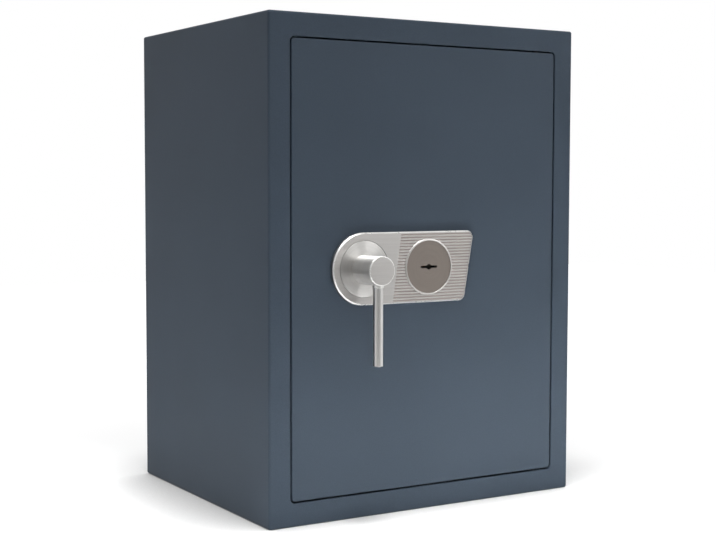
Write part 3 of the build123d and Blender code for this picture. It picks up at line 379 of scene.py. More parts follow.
class Tree:
    """Adds nodes and links to one node tree, a step at a time."""

    def __init__(self, tree):
        self.tree = tree

    def node(self, kind, **settings):
        """A node with its settings."""
        made = self.tree.nodes.new("ShaderNode" + kind)
        for name, value in settings.items():
            setattr(made, name, value)
        return made

    def feed(self, socket, value):
        """Sets a socket, or links it where the value is a socket."""
        if isinstance(value, bpy.types.NodeSocket):
            self.tree.links.new(value, socket)
        else:
            socket.default_value = value

    def place(self):
        """The place on the piece, in its own coordinates."""
        return self.node("TexCoord").outputs["Object"]

    def calc(self, operation, first, second, clamp=False):
        """A Math node's result."""
        made = self.node("Math", operation=operation, use_clamp=clamp)
        self.feed(made.inputs[0], first)
        self.feed(made.inputs[1], second)
        return made.outputs[0]

    def vector(self, operation, first, second=None):
        """A Vector Math node's result."""
        made = self.node("VectorMath", operation=operation)
        self.feed(made.inputs[0], first)
        if second is not None:
            self.feed(made.inputs[1], second)
        return made.outputs["Value" if operation in ("LENGTH", "DOT_PRODUCT") else "Vector"]

    def between(self, value, low, high, from_low=0.0, from_high=1.0):
        """A value moved from one range to another, and kept inside it."""
        made = self.node("MapRange")
        self.feed(made.inputs["Value"], value)
        self.feed(made.inputs["From Min"], from_low)
        self.feed(made.inputs["From Max"], from_high)
        self.feed(made.inputs["To Min"], low)
        self.feed(made.inputs["To Max"], high)
        return made.outputs["Result"]

    def noise(self, vector, scale, detail=2.0, roughness=0.5):
        """A noise value."""
        made = self.node("TexNoise")
        self.feed(made.inputs["Vector"], vector)
        self.feed(made.inputs["Scale"], scale)
        self.feed(made.inputs["Detail"], detail)
        self.feed(made.inputs["Roughness"], roughness)
        return made.outputs["Fac"]

    def tone(self, pattern, contrast):
        """A factor near one that follows a pattern."""
        return self.calc("ADD", self.calc("MULTIPLY", pattern, contrast), 1.0)

    def shade(self, colour, factor):
        """A colour made lighter or darker by a factor that changes over the surface."""
        made = self.node("VectorMath", operation="SCALE")
        self.feed(made.inputs[0], colour)
        self.feed(made.inputs["Scale"], factor)
        return made.outputs[0]

    def blend(self, factor, first, second):
        """Two colours mixed by a factor."""
        made = self.node("Mix", data_type="RGBA")
        self.feed(made.inputs["Factor"], factor)
        self.feed(made.inputs[6], first)
        self.feed(made.inputs[7], second)
        return made.outputs[2]


def new_group(name, inputs, outputs):
    """An empty node group: returns the tree helper, the sockets given to it and those that it puts out."""
    group = bpy.data.node_groups.new(name, "ShaderNodeTree")
    for label, kind, value in inputs:
        socket = group.interface.new_socket(name=label, in_out="INPUT", socket_type="NodeSocket" + kind)
        if value is not None:
            socket.default_value = value
    for label, kind in outputs:
        group.interface.new_socket(name=label, in_out="OUTPUT", socket_type="NodeSocket" + kind)
    given = group.nodes.new("NodeGroupInput").outputs
    made = group.nodes.new("NodeGroupOutput").inputs
    return Tree(group), given, made


def new_effect(name, *colours, **numbers):
    """A group that makes a finish from a place, a colour, a roughness and what else is named here."""
    inputs = [("Vector", "Vector", None), ("Roughness", "Float", 0.4)]
    inputs += [(label, "Color", (0.5, 0.5, 0.5, 1)) for label in ("Colour", *colours)]
    inputs += [(label, "Float", value) for label, value in numbers.items()]
    return new_group(name, inputs, [("Colour", "Color"), ("Roughness", "Float"), ("Height", "Float")])


def end_effect(tree, given, made, colour, tone, rough, height):
    """Puts out the toned colour, the changed roughness and the height."""
    tree.feed(made["Colour"], tree.shade(colour, tone))
    tree.feed(made["Roughness"], tree.calc("ADD", given["Roughness"], rough, clamp=True))
    tree.feed(made["Height"], height)
    return tree.tree


def powder_coat_group():
    """Fine textured powder coat: a grain of small pillows and specks with a faint mottling."""
    tree, given, made = new_effect("Powder Coat", Grain=900.0, Contrast=0.12)
    pillows = tree.noise(given["Vector"], given["Grain"], roughness=0.45)
    speck_grain = tree.calc("MULTIPLY", given["Grain"], 2.7)
    specks = tree.noise(given["Vector"], speck_grain, detail=1.0)
    height = tree.calc("ADD", tree.calc("MULTIPLY", pillows, 0.7), tree.calc("MULTIPLY", specks, 0.3))
    relief = tree.between(height, -1.0, 1.0, from_low=0.3, from_high=0.7)
    clouds = tree.between(tree.noise(given["Vector"], 7.0), -0.35, 0.35, from_low=0.3, from_high=0.7)
    tone = tree.tone(tree.calc("ADD", relief, clouds), given["Contrast"])
    rough = tree.calc("MULTIPLY", relief, 0.06)
    return end_effect(tree, given, made, given["Colour"], tone, rough, height)


def brushed_group():
    """Brush lines: fine and broad noise in a space that is stretched along the brushing."""
    tree, given, made = new_effect("Brush Lines", Contrast=0.10, Streaks=0.08)
    fine = tree.noise(given["Vector"], 1.0, detail=3.0, roughness=0.6)
    broad = tree.noise(tree.vector("MULTIPLY", given["Vector"], (0.23, 0.23, 0.23)), 1.0)
    lines = tree.between(tree.calc("ADD", fine, broad), -1.0, 1.0, from_low=0.6, from_high=1.4)
    tone = tree.tone(lines, given["Contrast"])
    rough = tree.calc("MULTIPLY", lines, given["Streaks"])
    return end_effect(tree, given, made, given["Colour"], tone, rough, fine)


def plating_group():
    """Zinc or nickel plating: soft tinted clouds, fine draw marks and small spots."""
    tree, given, made = new_effect("Plating", "Tint")
    clouds = tree.between(
        tree.noise(given["Vector"], 28.0, detail=3.0), 0.0, 0.45, from_low=0.4, from_high=0.7
    )
    marks = tree.noise(tree.vector("MULTIPLY", given["Vector"], (300, 300, 40)), 1.0, detail=3.0)
    spots = tree.noise(given["Vector"], 420.0)
    height = tree.calc("ADD", marks, spots)
    tone = tree.between(height, 0.88, 1.12, from_low=0.6, from_high=1.4)
    rough = tree.between(spots, -0.05, 0.07, from_low=0.3, from_high=0.7)
    tinted = tree.blend(clouds, given["Colour"], given["Tint"])
    return end_effect(tree, given, made, tinted, tone, rough, height)


def cast_group():
    """A cast or moulded mass: pores and a mottled tone."""
    tree, given, made = new_effect("Cast Mass", Scale=260.0, Contrast=0.2)
    grain = tree.noise(given["Vector"], given["Scale"], detail=4.0, roughness=0.6)
    cells = tree.node("TexVoronoi")
    tree.feed(cells.inputs["Vector"], given["Vector"])
    tree.feed(cells.inputs["Scale"], given["Scale"])
    pores = tree.between(cells.outputs["Distance"], 0.0, 1.0, from_low=0.0, from_high=0.25)
    mottling = tree.between(grain, -1.0, 1.0, from_low=0.3, from_high=0.7)
    tone = tree.tone(mottling, given["Contrast"])
    rough = tree.between(grain, -0.05, 0.05, from_low=0.3, from_high=0.7)
    height = tree.calc("ADD", pores, grain)
    return end_effect(tree, given, made, given["Colour"], tone, rough, height)


def round_space_group():
    """Turns a place into a radius and a slow angle round an axis along Y, for lathe and disc marks."""
    tree, given, made = new_group(
        "Round Space",
        [("Vector", "Vector", None), ("Centre", "Vector", (0, 0, 0)), ("Ring Scale", "Float", 1500.0),
         ("Angle Scale", "Float", 2.0)],
        [("Vector", "Vector")],
    )
    flat = tree.vector("MULTIPLY", tree.vector("SUBTRACT", given["Vector"], given["Centre"]), (1, 0, 1))
    heading = tree.node("SeparateXYZ")
    tree.feed(heading.inputs[0], tree.vector("NORMALIZE", flat))
    joined = tree.node("CombineXYZ")
    tree.feed(joined.inputs[0], tree.calc("MULTIPLY", tree.vector("LENGTH", flat), given["Ring Scale"]))
    tree.feed(joined.inputs[1], tree.calc("MULTIPLY", heading.outputs[0], given["Angle Scale"]))
    tree.feed(joined.inputs[2], tree.calc("MULTIPLY", heading.outputs[2], given["Angle Scale"]))
    tree.feed(made["Vector"], joined.outputs[0])
    return tree.tree


# Finishes

def rgba(colour):
    """A colour with full cover."""
    return (*colour, 1.0)


def new_finish(name, group, values, bump, bump_height, vector=None, **constants):
    """A material whose colour, roughness and relief come from one effect group."""
    material = bpy.data.materials.new(name)
    material.use_nodes = True
    tree = Tree(material.node_tree)
    shader = material.node_tree.nodes["Principled BSDF"]
    effect = tree.node("Group", node_tree=group)
    tree.feed(effect.inputs["Vector"], vector(tree) if vector else tree.place())
    for label, value in values.items():
        tree.feed(effect.inputs[label], value)
    tree.feed(shader.inputs["Base Color"], effect.outputs["Colour"])
    tree.feed(shader.inputs["Roughness"], effect.outputs["Roughness"])
    relief = tree.node("Bump")
    tree.feed(relief.inputs["Strength"], bump)
    tree.feed(relief.inputs["Distance"], bump_height * MM)
    tree.feed(relief.inputs["Height"], effect.outputs["Height"])
    tree.feed(shader.inputs["Normal"], relief.outputs["Normal"])
    for label, value in constants.items():
        shader.inputs[label.replace("_", " ")].default_value = value
    return material


def brush_space(*scale):
    """Object places stretched for straight brushing."""
    return lambda tree: tree.vector("MULTIPLY", tree.place(), scale)


def ring_space(group, piece_low, piece_high, angle_scale):
    """Object places wound round a piece's axis, for turned and disc-brushed faces."""
    x, z, _ = facing_disc(piece_low, piece_high)
    ring_scale = 2200.0

    def build(tree):
        winding = tree.node("Group", node_tree=group)
        tree.feed(winding.inputs["Vector"], tree.place())
        tree.feed(winding.inputs["Centre"], (x, 0, z))
        tree.feed(winding.inputs["Ring Scale"], ring_scale)
        tree.feed(winding.inputs["Angle Scale"], angle_scale)
        return winding.outputs["Vector"]
    return build


def turned_grain(material):
    """Spreads the highlight of a piece turned about an axis along Y, across its turning marks."""
    tree = Tree(material.node_tree)
    shader = material.node_tree.nodes["Principled BSDF"]
    around = tree.node("Tangent", direction_type="RADIAL", axis="Y")
    tree.feed(shader.inputs["Tangent"], around.outputs["Tangent"])
    shader.inputs["Anisotropic"].default_value = 0.9
    shader.inputs["Anisotropic Rotation"].default_value = 0.25


def make_finishes(colours):
    """Every finish of the cabinet, built once from the shared groups. Relief heights are in millimetres."""
    powder, brush, winding = powder_coat_group(), brushed_group(), round_space_group()
    plating, cast = plating_group(), cast_group()

    def coated(name, colour, grain, contrast, roughness, bump, height, gloss):
        values = {"Colour": rgba(colour), "Grain": grain, "Contrast": contrast, "Roughness": roughness}
        return new_finish(name, powder, values, bump, height, Specular_IOR_Level=gloss)

    def moulded(name, colour, scale, contrast, roughness, bump, height, gloss):
        values = {"Colour": rgba(colour), "Scale": scale, "Contrast": contrast, "Roughness": roughness}
        return new_finish(name, cast, values, bump, height, Specular_IOR_Level=gloss)

    def plated(name, colour, tint, roughness, bump, height):
        values = {"Colour": rgba(colour), "Tint": rgba(tint), "Roughness": roughness}
        return new_finish(name, plating, values, bump, height, Metallic=1.0)

    def brushed(name, colour, contrast, roughness, streaks, bump, vector, height=0.02):
        values = {"Colour": rgba(colour), "Contrast": contrast, "Roughness": roughness, "Streaks": streaks}
        return new_finish(name, brush, values, bump, height, vector=vector, Metallic=1.0)

    finishes = {
        "casing_paint": coated(
            "Slate Powder Coat", colours.paint, grain=950.0, contrast=0.10, roughness=0.55,
            bump=0.35, height=0.12, gloss=0.12),
        "door_paint": coated(
            "Slate Door Coat", colours.paint, grain=980.0, contrast=0.10, roughness=0.55,
            bump=0.35, height=0.12, gloss=0.15),
        "inside_paint": coated(
            "Light Inside Coat", colours.inside, grain=900.0, contrast=0.07, roughness=0.5,
            bump=0.3, height=0.1, gloss=0.4),
        "jamb_paint": coated(
            "Dark Jamb Coat", colours.jamb, grain=900.0, contrast=0.12, roughness=0.5,
            bump=0.3, height=0.1, gloss=0.4),
        "barrier_fill": moulded(
            "Fire Filling", colours.filling, scale=300.0, contrast=0.12, roughness=0.9,
            bump=0.5, height=0.3, gloss=0.2),
        "seal_strip": moulded(
            "Swelling Strip", colours.seal, scale=700.0, contrast=0.3, roughness=0.8,
            bump=0.4, height=0.2, gloss=0.3),
        "zinc_steel": plated(
            "Zinc Plating", colours.zinc, tint=(0.62, 0.60, 0.50), roughness=0.34, bump=0.05, height=0.05),
        "bolt_steel": plated(
            "Ground Nickel", colours.nickel, tint=(0.72, 0.70, 0.66), roughness=0.2, bump=0.03, height=0.03),
        "screw_steel": plated(
            "Screw Zinc", colours.screw, tint=(0.50, 0.50, 0.46), roughness=0.28, bump=0.05, height=0.04),
        "lock_metal": plated(
            "Lock Zinc", colours.lock, tint=(0.56, 0.53, 0.42), roughness=0.38, bump=0.06, height=0.05),
        "hard_steel": plated(
            "Blackened Hard Steel", colours.hard, tint=(0.11, 0.10, 0.09), roughness=0.45,
            bump=0.06, height=0.05),
        "bearing_brass": plated(
            "Turned Brass", colours.brass, tint=(0.60, 0.42, 0.20), roughness=0.26, bump=0.04, height=0.04),
        "plate_stainless": brushed(
            "Brushed Plate", colours.stainless, contrast=0.07, roughness=0.36, streaks=0.06,
            bump=0.12, vector=brush_space(60, 60, 2600)),
        # Darker than the plate: the milled finish and painted shade in the grooves' hollows.
        "groove_steel": brushed(
            "Milled Grooves With Painted Shade", colours.groove, contrast=0.08, roughness=0.5, streaks=0.05,
            bump=0.12, vector=brush_space(60, 900, 900)),
        "rosette_stainless": brushed(
            "Satin Rosette", colours.rosette, contrast=0.06, roughness=0.42, streaks=0.05,
            bump=0.10, vector=ring_space(winding, rosette_low, rosette_high, 1.5)),
        "handle_stainless": brushed(
            "Brushed Handle", colours.lever, contrast=0.06, roughness=0.33, streaks=0.05,
            bump=0.10, vector=brush_space(2200, 2200, 60)),
        "rose_stainless": brushed(
            "Disc Brushed Rose", colours.turned, contrast=0.06, roughness=0.42, streaks=0.05,
            bump=0.12, vector=ring_space(winding, rose_low, rose_high, 2.5)),
        "hub_stainless": brushed(
            "Turned Hub", colours.turned, contrast=0.06, roughness=0.42, streaks=0.05,
            bump=0.08, vector=brush_space(60, 2200, 60)),
        # Edges lighter than the steel they are cut in: polished finish and painted highlight.
        "polished_edge": brushed(
            "Polished Edge With Painted Highlight", colours.polished, contrast=0.03, roughness=0.28, streaks=0.02,
            bump=0.02, vector=brush_space(300, 300, 300), height=0.01),
    }
    turned_grain(finishes["rose_stainless"])
    turned_grain(finishes["hub_stainless"])
    return finishes


finish_store = {}


def finish(name):
    """A finish by its name, built at first use from the colours of the scene."""
    if not finish_store:
        finish_store.update(make_finishes(bpy.context.scene.safe_colours))
    return finish_store[name]


def dress(piece, finish_name, body, slot, *nodes):
    """Gives a finished piece its material and its body, and hides the nodes that it stands for. The slot is
    not used.
    """
    if piece.data.materials:
        piece.data.materials[0] = finish(finish_name)
    else:
        piece.data.materials.append(finish(finish_name))
    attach(piece, body)
    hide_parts(*nodes)


# Pieces

class SAFE_OT_casing(Operator):
    """Models the folded casing with its frame face and the door opening"""
    bl_idname = "safe.casing"
    bl_label = "Casing"

    def execute(self, context):
        sizes = context.scene.safe_cabinet
        low, high = casing_low, casing_high
        casing = add_block("casing", low, high)
        in_front = at_depth(low.y)
        bevel_edges(
            casing, lambda a, b: along_y(a, b) or in_front(a, b), sizes.fold_radius, segments=6
        )
        inner_low = low + Vector((sizes.sheet, sizes.sheet, sizes.sheet))
        inner_high = high - Vector((sizes.sheet, -sizes.sheet, sizes.sheet))
        combine(casing, add_block("casing_room", inner_low, inner_high))
        width = sizes.frame_width
        mouth = add_block(
            "casing_mouth", (low.x + width, low.y - sizes.sheet, low.z + width),
            (high.x - width, inner_low.y + sizes.sheet, high.z - width),
        )
        bevel_edges(mouth, along_y, sizes.mouth_corner, segments=8)
        combine(casing, mouth)
        for side in (-1, 1):
            x, y = side * sizes.anchor_spacing / 2, sizes.base_anchor_depth
            foot, top = (x, y, -sizes.sheet), (x, y, 2 * sizes.sheet)
            combine(casing, add_rod("casing_hole", sizes.anchor_hole / 2, foot, top))
        clean_mesh(casing)

        inner = 0.9 * width

        def round_mouth(first, second):
            return in_front(first, second) and all(
                low.x + inner < end.x < high.x - inner and low.z + inner < end.z < high.z - inner
                for end in (first, second)
            )

        bevel_edges(casing, round_mouth, sizes.mouth_edge, segments=3)
        smooth(casing)
        dress(casing, "casing_paint", "cabinet", "casing_paint", "outer_casing")
        return {"FINISHED"}


class SAFE_OT_door_leaf(Operator):
    """Models the door's front plate with its rounded edge and its holes"""
    bl_idname = "safe.door_leaf"
    bl_label = "Door Leaf"

    def execute(self, context):
        sizes = context.scene.safe_cabinet
        key_sizes = context.scene.safe_lock_plate
        low, high = leaf_low, leaf_high
        leaf = add_block("door_leaf", low, high)
        bevel_edges(leaf, along_y, sizes.leaf_corner, segments=8)
        bevel_edges(leaf, at_depth(low.y), sizes.leaf_edge, segments=5)
        handle_x, height, _ = facing_disc(rose_low, rose_high)
        key_x = facing_disc(rosette_low, rosette_high)[0]
        front, back = low.y - CUTTER_OVER, high.y + CUTTER_OVER
        bore = add_rod("leaf_bore", sizes.spindle_bore, (handle_x, front, height), (handle_x, back, height))
        combine(leaf, bore)
        keyway = key_cutter("leaf_keyway", key_x, height, front, back, key_sizes, sizes.keyway_margin)
        combine(leaf, keyway)
        clean_mesh(leaf)
        smooth(leaf)
        dress(leaf, "door_paint", "door", "door_paint", "door_plate")
        return {"FINISHED"}


class SAFE_OT_lock_plate(Operator):
    """Models the raked lock plate with its ribbed field, seats and polished edge"""
    bl_idname = "safe.lock_plate"
    bl_label = "Lock Plate"

    def tilt(self, sizes):
        """The angle by which the right edge leans."""
        return atan2(sizes.rake, plate_high.z - plate_low.z)

    def reach(self, radius, tilt):
        """How far a round corner runs along the edges that meet there."""
        return radius / tan(pi / 4 - tilt / 2)

    def corner_x(self, sizes):
        """Where the upper right corner would lie if it weren't rounded."""
        return plate_high.x + self.reach(sizes.corner, self.tilt(sizes)) - sizes.corner

    def blank(self, sizes):
        """Half a disc drawn out to the right, raked there and given its thickness."""
        low, high = plate_low, plate_high
        half = (high.z - low.z) / 2
        centre = Vector((low.x + half, high.y, low.z + half))
        corner_x = self.corner_x(sizes)
        alone()
        bpy.ops.mesh.primitive_circle_add(
            vertices=128, radius=half, fill_type="NGON", location=centre, rotation=(pi / 2, 0, 0)
        )
        blank = settle("lock_plate_body")
        bpy.ops.object.mode_set(mode="EDIT")
        bpy.ops.mesh.select_all(action="SELECT")
        bpy.ops.mesh.bisect(plane_co=centre, plane_no=(1, 0, 0), clear_outer=True)
        pick_edges(blank, lambda a, b: near(a.x, centre.x) and near(b.x, centre.x))
        shift = {"value": (corner_x - centre.x, 0, 0)}
        bpy.ops.mesh.extrude_region_move(TRANSFORM_OT_translate=shift)
        self.lean(blank, corner_x, low.z, sizes.rake)
        pick_edges(blank, lambda a, b: near(a.x, centre.x) and near(b.x, centre.x))
        bpy.ops.mesh.dissolve_edges()
        bpy.ops.mesh.select_all(action="SELECT")
        bpy.ops.mesh.extrude_region_move(TRANSFORM_OT_translate={"value": (0, low.y - high.y, 0)})
        bpy.ops.object.mode_set(mode="OBJECT")
        clean_mesh(blank)
        return blank

    def lean(self, piece, x, z, distance):
        """Moves the points at one place to the left, so that the edge above them leans."""
        take(piece)
        bpy.ops.object.mode_set(mode="EDIT")
        bpy.ops.mesh.select_mode(type="VERT")
        bpy.ops.mesh.select_all(action="DESELECT")
        shape = bmesh.from_edit_mesh(piece.data)
        for point in shape.verts:
            if near(point.co.x, x) and near(point.co.z, z):
                point.select_set(True)
        bmesh.update_edit_mesh(piece.data)
        bpy.ops.transform.translate(value=(-distance, 0, 0))
        bpy.ops.object.mode_set(mode="OBJECT")

    def round_corner(self, slab, x, z, width, segments):
        """Rounds one upright corner of a slab."""
        bevel_edges(
            slab,
            lambda a, b: near(a.x, x) and near(b.x, x) and near(a.z, z) and near(b.z, z),
            width, segments=segments, clamp=False,
        )

    def ribs(self, sizes):
        """The grooves as a solid tool: a row of tapered bars kept inside the ribbed field."""
        low, high = plate_low, plate_high
        tilt = self.tilt(sizes)
        inset = sizes.field_inset
        inner = sizes.corner - inset
        start = facing_disc(rose_low, rose_high)[0] + sizes.groove_start
        end = self.corner_x(sizes) - inset / cos(tilt) - inset * tan(tilt)
        bottom, top = low.z + inset, high.z - inset
        over = 2 * sizes.groove_depth
        field = add_block("ribbed_field", (start, low.y - over, bottom), (end, low.y + over, top))
        foot = (top - bottom) * tan(tilt)
        self.lean(field, start, bottom, sizes.groove_rake)
        self.lean(field, end, bottom, foot)
        self.round_corner(field, end, top, self.reach(inner, tilt), 8)
        self.round_corner(field, end - foot, bottom, self.reach(inner, -tilt), 8)
        clean_mesh(field)
        pitch = (high.z - low.z) / (sizes.groove_count + 1)
        first = low.z + pitch
        spread = sizes.groove_width / (1 + sizes.groove_floor)
        bars = add_block(
            "groove_bars", (start - 2 * sizes.groove_rake, low.y - sizes.groove_depth, first - spread),
            (end + sizes.rake, low.y + sizes.groove_depth, first + spread),
        )
        pick_edges(bars, lambda a, b: a.y > low.y and b.y > low.y)
        bpy.ops.transform.resize(value=(1, 1, sizes.groove_floor), center_override=(0, low.y, first))
        bpy.ops.object.mode_set(mode="OBJECT")
        apply_modifier(
            bars, "ARRAY", count=sizes.groove_count, use_relative_offset=False,
            use_constant_offset=True, constant_offset_displace=(0, 0, pitch),
        )
        return combine(field, bars, "INTERSECT")

    def execute(self, context):
        sizes = context.scene.safe_lock_plate
        low, high = plate_low, plate_high
        tilt = self.tilt(sizes)
        corner_x = self.corner_x(sizes)
        plate = self.blank(sizes)
        self.round_corner(plate, corner_x, high.z, self.reach(sizes.corner, tilt), 12)
        self.round_corner(plate, corner_x - sizes.rake, low.z, self.reach(sizes.corner, -tilt), 12)
        clean_mesh(plate)
        bevel_edges(plate, at_depth(low.y), sizes.chamfer, segments=1)
        dress(plate, "plate_stainless", "door", "plate_stainless", "lock_plate")
        polish_faces(plate, finish("polished_edge"), leaning(0.5, 0.9))
        combine(plate, self.ribs(sizes))
        middle = (low.z + high.z) / 2
        front, back = low.y - CUTTER_OVER, high.y + CUTTER_OVER
        for piece_low, piece_high, gap in (
            (rose_low, rose_high, sizes.rose_gap), (rosette_low, rosette_high, sizes.seat_gap),
        ):
            x, _, radius = facing_disc(piece_low, piece_high)
            combine(plate, add_rod("plate_seat", radius + gap, (x, front, middle), (x, back, middle), 128))
        clean_mesh(plate)
        smooth(plate, 25)
        skin = 0.05 * MM
        faces_front = leaning(0.3, 1.1)

        def in_groove(centre, normal):
            return faces_front(centre, normal) and centre.y > low.y + skin

        # The grooves' floors and walls take the darker finish: painted shade in the grooves.
        polish_faces(plate, finish("groove_steel"), in_groove)
        return {"FINISHED"}


class SAFE_OT_key_rosette(Operator):
    """Turns the key rosette with its bright rim and cuts the keyhole"""
    bl_idname = "safe.key_rosette"
    bl_label = "Key Rosette"

    def execute(self, context):
        sizes = context.scene.safe_lock_plate
        low, high = rosette_low, rosette_high
        x, z, radius = facing_disc(low, high)
        rise = sizes.rosette_edge
        face = high.y - low.y
        dish = radius - sizes.rosette_rim
        floor = face - sizes.rosette_dish
        lip, lip_depth, slope = 0.3 * MM, 0.25 * MM, 0.15 * MM
        steps = [
            (0, radius), (face - rise, radius), (face - 0.25 * rise, radius - 0.45 * rise),
            (face, radius - rise), (face, dish + lip), (face - lip_depth, dish),
            (floor, dish - slope), (floor, dish * 0.5),
        ]
        rosette = turn_piece("rosette", (x, high.y, z), (0, -1, 0), steps, sides=128)
        front, back = low.y - CUTTER_OVER, high.y + CUTTER_OVER
        combine(rosette, key_cutter("rosette_keyway", x, z, front, back, sizes))
        clean_mesh(rosette)
        smooth(rosette, 30)
        dress(rosette, "rosette_stainless", "door", "rosette_stainless", "key_rosette")
        rim_start = dish - 0.1 * MM

        def on_rim(centre, normal):
            return Vector((centre.x - x, centre.z - z)).length > rim_start

        polish_faces(rosette, finish("plate_stainless"), on_rim)
        return {"FINISHED"}


class SAFE_OT_handle(Operator):
    """Turns the handle's rose, hub, lever and collar"""
    bl_idname = "safe.handle"
    bl_label = "Handle"

    def rose(self, sizes):
        """A thin disc with a rounded rim."""
        x, z, radius = facing_disc(rose_low, rose_high)
        thick = rose_high.y - rose_low.y
        edge = sizes.rose_edge
        steps = [
            (0, radius), (thick - edge, radius), (thick - 0.3 * edge, radius - 0.3 * edge),
            (thick, radius - edge), (thick, radius * FACE_CENTRE),
        ]
        rose = turn_piece("rose", (x, rose_high.y, z), (0, -1, 0), steps, sides=128)
        smooth(rose, 40)
        dress(rose, "rose_stainless", "handle", "handle_stainless", "handle_rose")

    def hub(self, sizes):
        """A cylinder whose front edge is a polished quarter round in three flats."""
        x, z, _ = facing_disc(rose_low, rose_high)
        radius = (hub_high.x - hub_low.x) / 2
        length = hub_high.y - hub_low.y
        edge = sizes.hub_edge
        near_side, far_side = 0.13 * edge, 0.5 * edge
        steps = [
            (0, radius), (length - edge, radius), (length - far_side, radius - near_side),
            (length - near_side, radius - far_side), (length, radius - edge),
            (length, radius * FACE_CENTRE),
        ]
        hub = turn_piece("hub", (x, hub_high.y, z), (0, -1, 0), steps, sides=96)
        smooth(hub, 25)
        dress(hub, "hub_stainless", "handle", "handle_stainless", "handle_hub")
        polish_faces(hub, finish("polished_edge"), leaning(0.3, 0.985))
        polish_faces(hub, finish("plate_stainless"), leaning(0.985, 1.1))

    def lever(self, sizes):
        """A rod that hangs from the hub, with a polished lower end."""
        x = facing_disc(rose_low, rose_high)[0]
        radius = (lever_high.x - lever_low.x) / 2
        y = (lever_low.y + lever_high.y) / 2
        end = sizes.lever_end
        drop = lever_high.z - lever_low.z
        steps = [
            (0, radius), (drop - end, radius), (drop - 0.1 * end, radius - 0.9 * end),
            (drop, radius - 1.2 * end),
        ]
        lever = turn_piece("lever", (x, y, lever_high.z), (0, 0, -1), steps, sides=64)
        smooth(lever, 25)
        dress(lever, "handle_stainless", "handle", "handle_stainless", "handle_lever")
        polish_faces(lever, finish("polished_edge"), lambda centre, normal: 0.3 < -normal.z < 0.97)

    def collar(self, sizes):
        """A polished ring round the lever where it enters the hub."""
        x, z, _ = facing_disc(rose_low, rose_high)
        lever_radius = (lever_high.x - lever_low.x) / 2
        y = (lever_low.y + lever_high.y) / 2
        length = 2 * sizes.collar_length
        top = z - (hub_high.x - hub_low.x) / 2 + sizes.collar_length
        low = top - length
        steps = [
            (0, sizes.collar_radius), (length - sizes.collar_edge, sizes.collar_radius),
            (length, sizes.collar_radius - sizes.collar_edge),
        ]
        collar = turn_piece("collar", (x, y, top), (0, 0, -1), steps, sides=64)
        gap = 0.02 * MM
        combine(collar, add_rod("collar_bore", lever_radius + gap, (x, y, low - MM), (x, y, top + MM)))
        clean_mesh(collar)
        smooth(collar, 30)
        # The ring takes the lighter polished finish, partly a painted highlight.
        dress(collar, "polished_edge", "handle", "handle_stainless", "lever_collar")

    def execute(self, context):
        sizes = context.scene.safe_handle
        self.rose(sizes)
        self.hub(sizes)
        self.lever(sizes)
        self.collar(sizes)
        return {"FINISHED"}


class SAFE_OT_cover_screws(Operator):
    """Models one cross-recessed screw and copies it to every screw place of the inner cover"""
    bl_idname = "safe.cover_screws"
    bl_label = "Cover Screws"

    def places(self, room):
        """The middles of the screws: points of the frame's node nearer than the room are one screw."""
        source = frame["nodes"]["cover_screws"].data
        found = []
        for point in source.vertices:
            spot = Vector((point.co.x, 0, point.co.z))
            for group in found:
                if (group[0] - spot).length < room:
                    group.append(spot)
                    break
            else:
                found.append([spot])
        middles = []
        for group in found:
            across = [spot.x for spot in group]
            upward = [spot.z for spot in group]
            middles.append(((min(across) + max(across)) / 2, (min(upward) + max(upward)) / 2))
        return sorted(middles)

    def head(self, sizes, x, z):
        """A domed head that is turned, with a cross of two tapered wings cut into it."""
        rim, dome = 0.35 * sizes.head, 0.65 * sizes.head
        crown, shoulder = 0.55 * sizes.radius, 0.45 * sizes.radius
        steps = [(0, sizes.radius), (rim, sizes.radius)]
        rings = 5
        for ring in range(1, rings + 1):
            angle = pi / 2 * ring / rings
            steps.append((rim + dome * sin(angle), crown + shoulder * cos(angle)))
        steps.append((sizes.head, 0.2 * sizes.radius))
        head = turn_piece("cover_screw", (x, screws_back - sizes.head, z), (0, 1, 0), steps, sides=40)
        reach, half = sizes.wing_reach, sizes.wing_half
        taper = 0.45
        for across, upward in ((reach, half), (half, reach)):
            wing = add_block(
                "screw_wing", (x - across, screws_back - sizes.recess, z - upward),
                (x + across, screws_back + MM, z + upward),
            )
            pick_edges(wing, lambda a, b: a.y < screws_back and b.y < screws_back)
            bpy.ops.transform.resize(value=(taper, 1, taper), center_override=(x, screws_back, z))
            bpy.ops.object.mode_set(mode="OBJECT")
            combine(head, wing)
        clean_mesh(head)
        return head

    def execute(self, context):
        sizes = context.scene.safe_screws
        places = self.places(sizes.room)
        x, z = places[0]
        first = self.head(sizes, x, z)
        copies = []
        for place in places[1:]:
            take(first)
            bpy.ops.object.duplicate()
            bpy.ops.transform.translate(value=(place[0] - x, 0, place[1] - z))
            bpy.ops.object.transform_apply(location=True, rotation=True, scale=True)
            copies.append(bpy.context.object)
        take(first)
        for copy in copies:
            copy.select_set(True)
        bpy.ops.object.join()
        first.name = "cover_screw_heads"
        first.data.name = "cover_screw_heads"
        smooth(first, 35)
        dress(first, "screw_steel", "door", "screw_steel", "cover_screws")
        return {"FINISHED"}


class SAFE_OT_frame_finishes(Operator):
    """Gives every frame part that stays in view its own finish"""
    bl_idname = "safe.frame_finishes"
    bl_label = "Frame Finishes"

    def execute(self, context):
        slots = {part["node"]: part["material_slot"] for part in frame["record"]["subparts"]}
        for name, node in frame["nodes"].items():
            node.data.materials.clear()
            node.data.materials.append(finish(slots[name]))
        return {"FINISHED"}


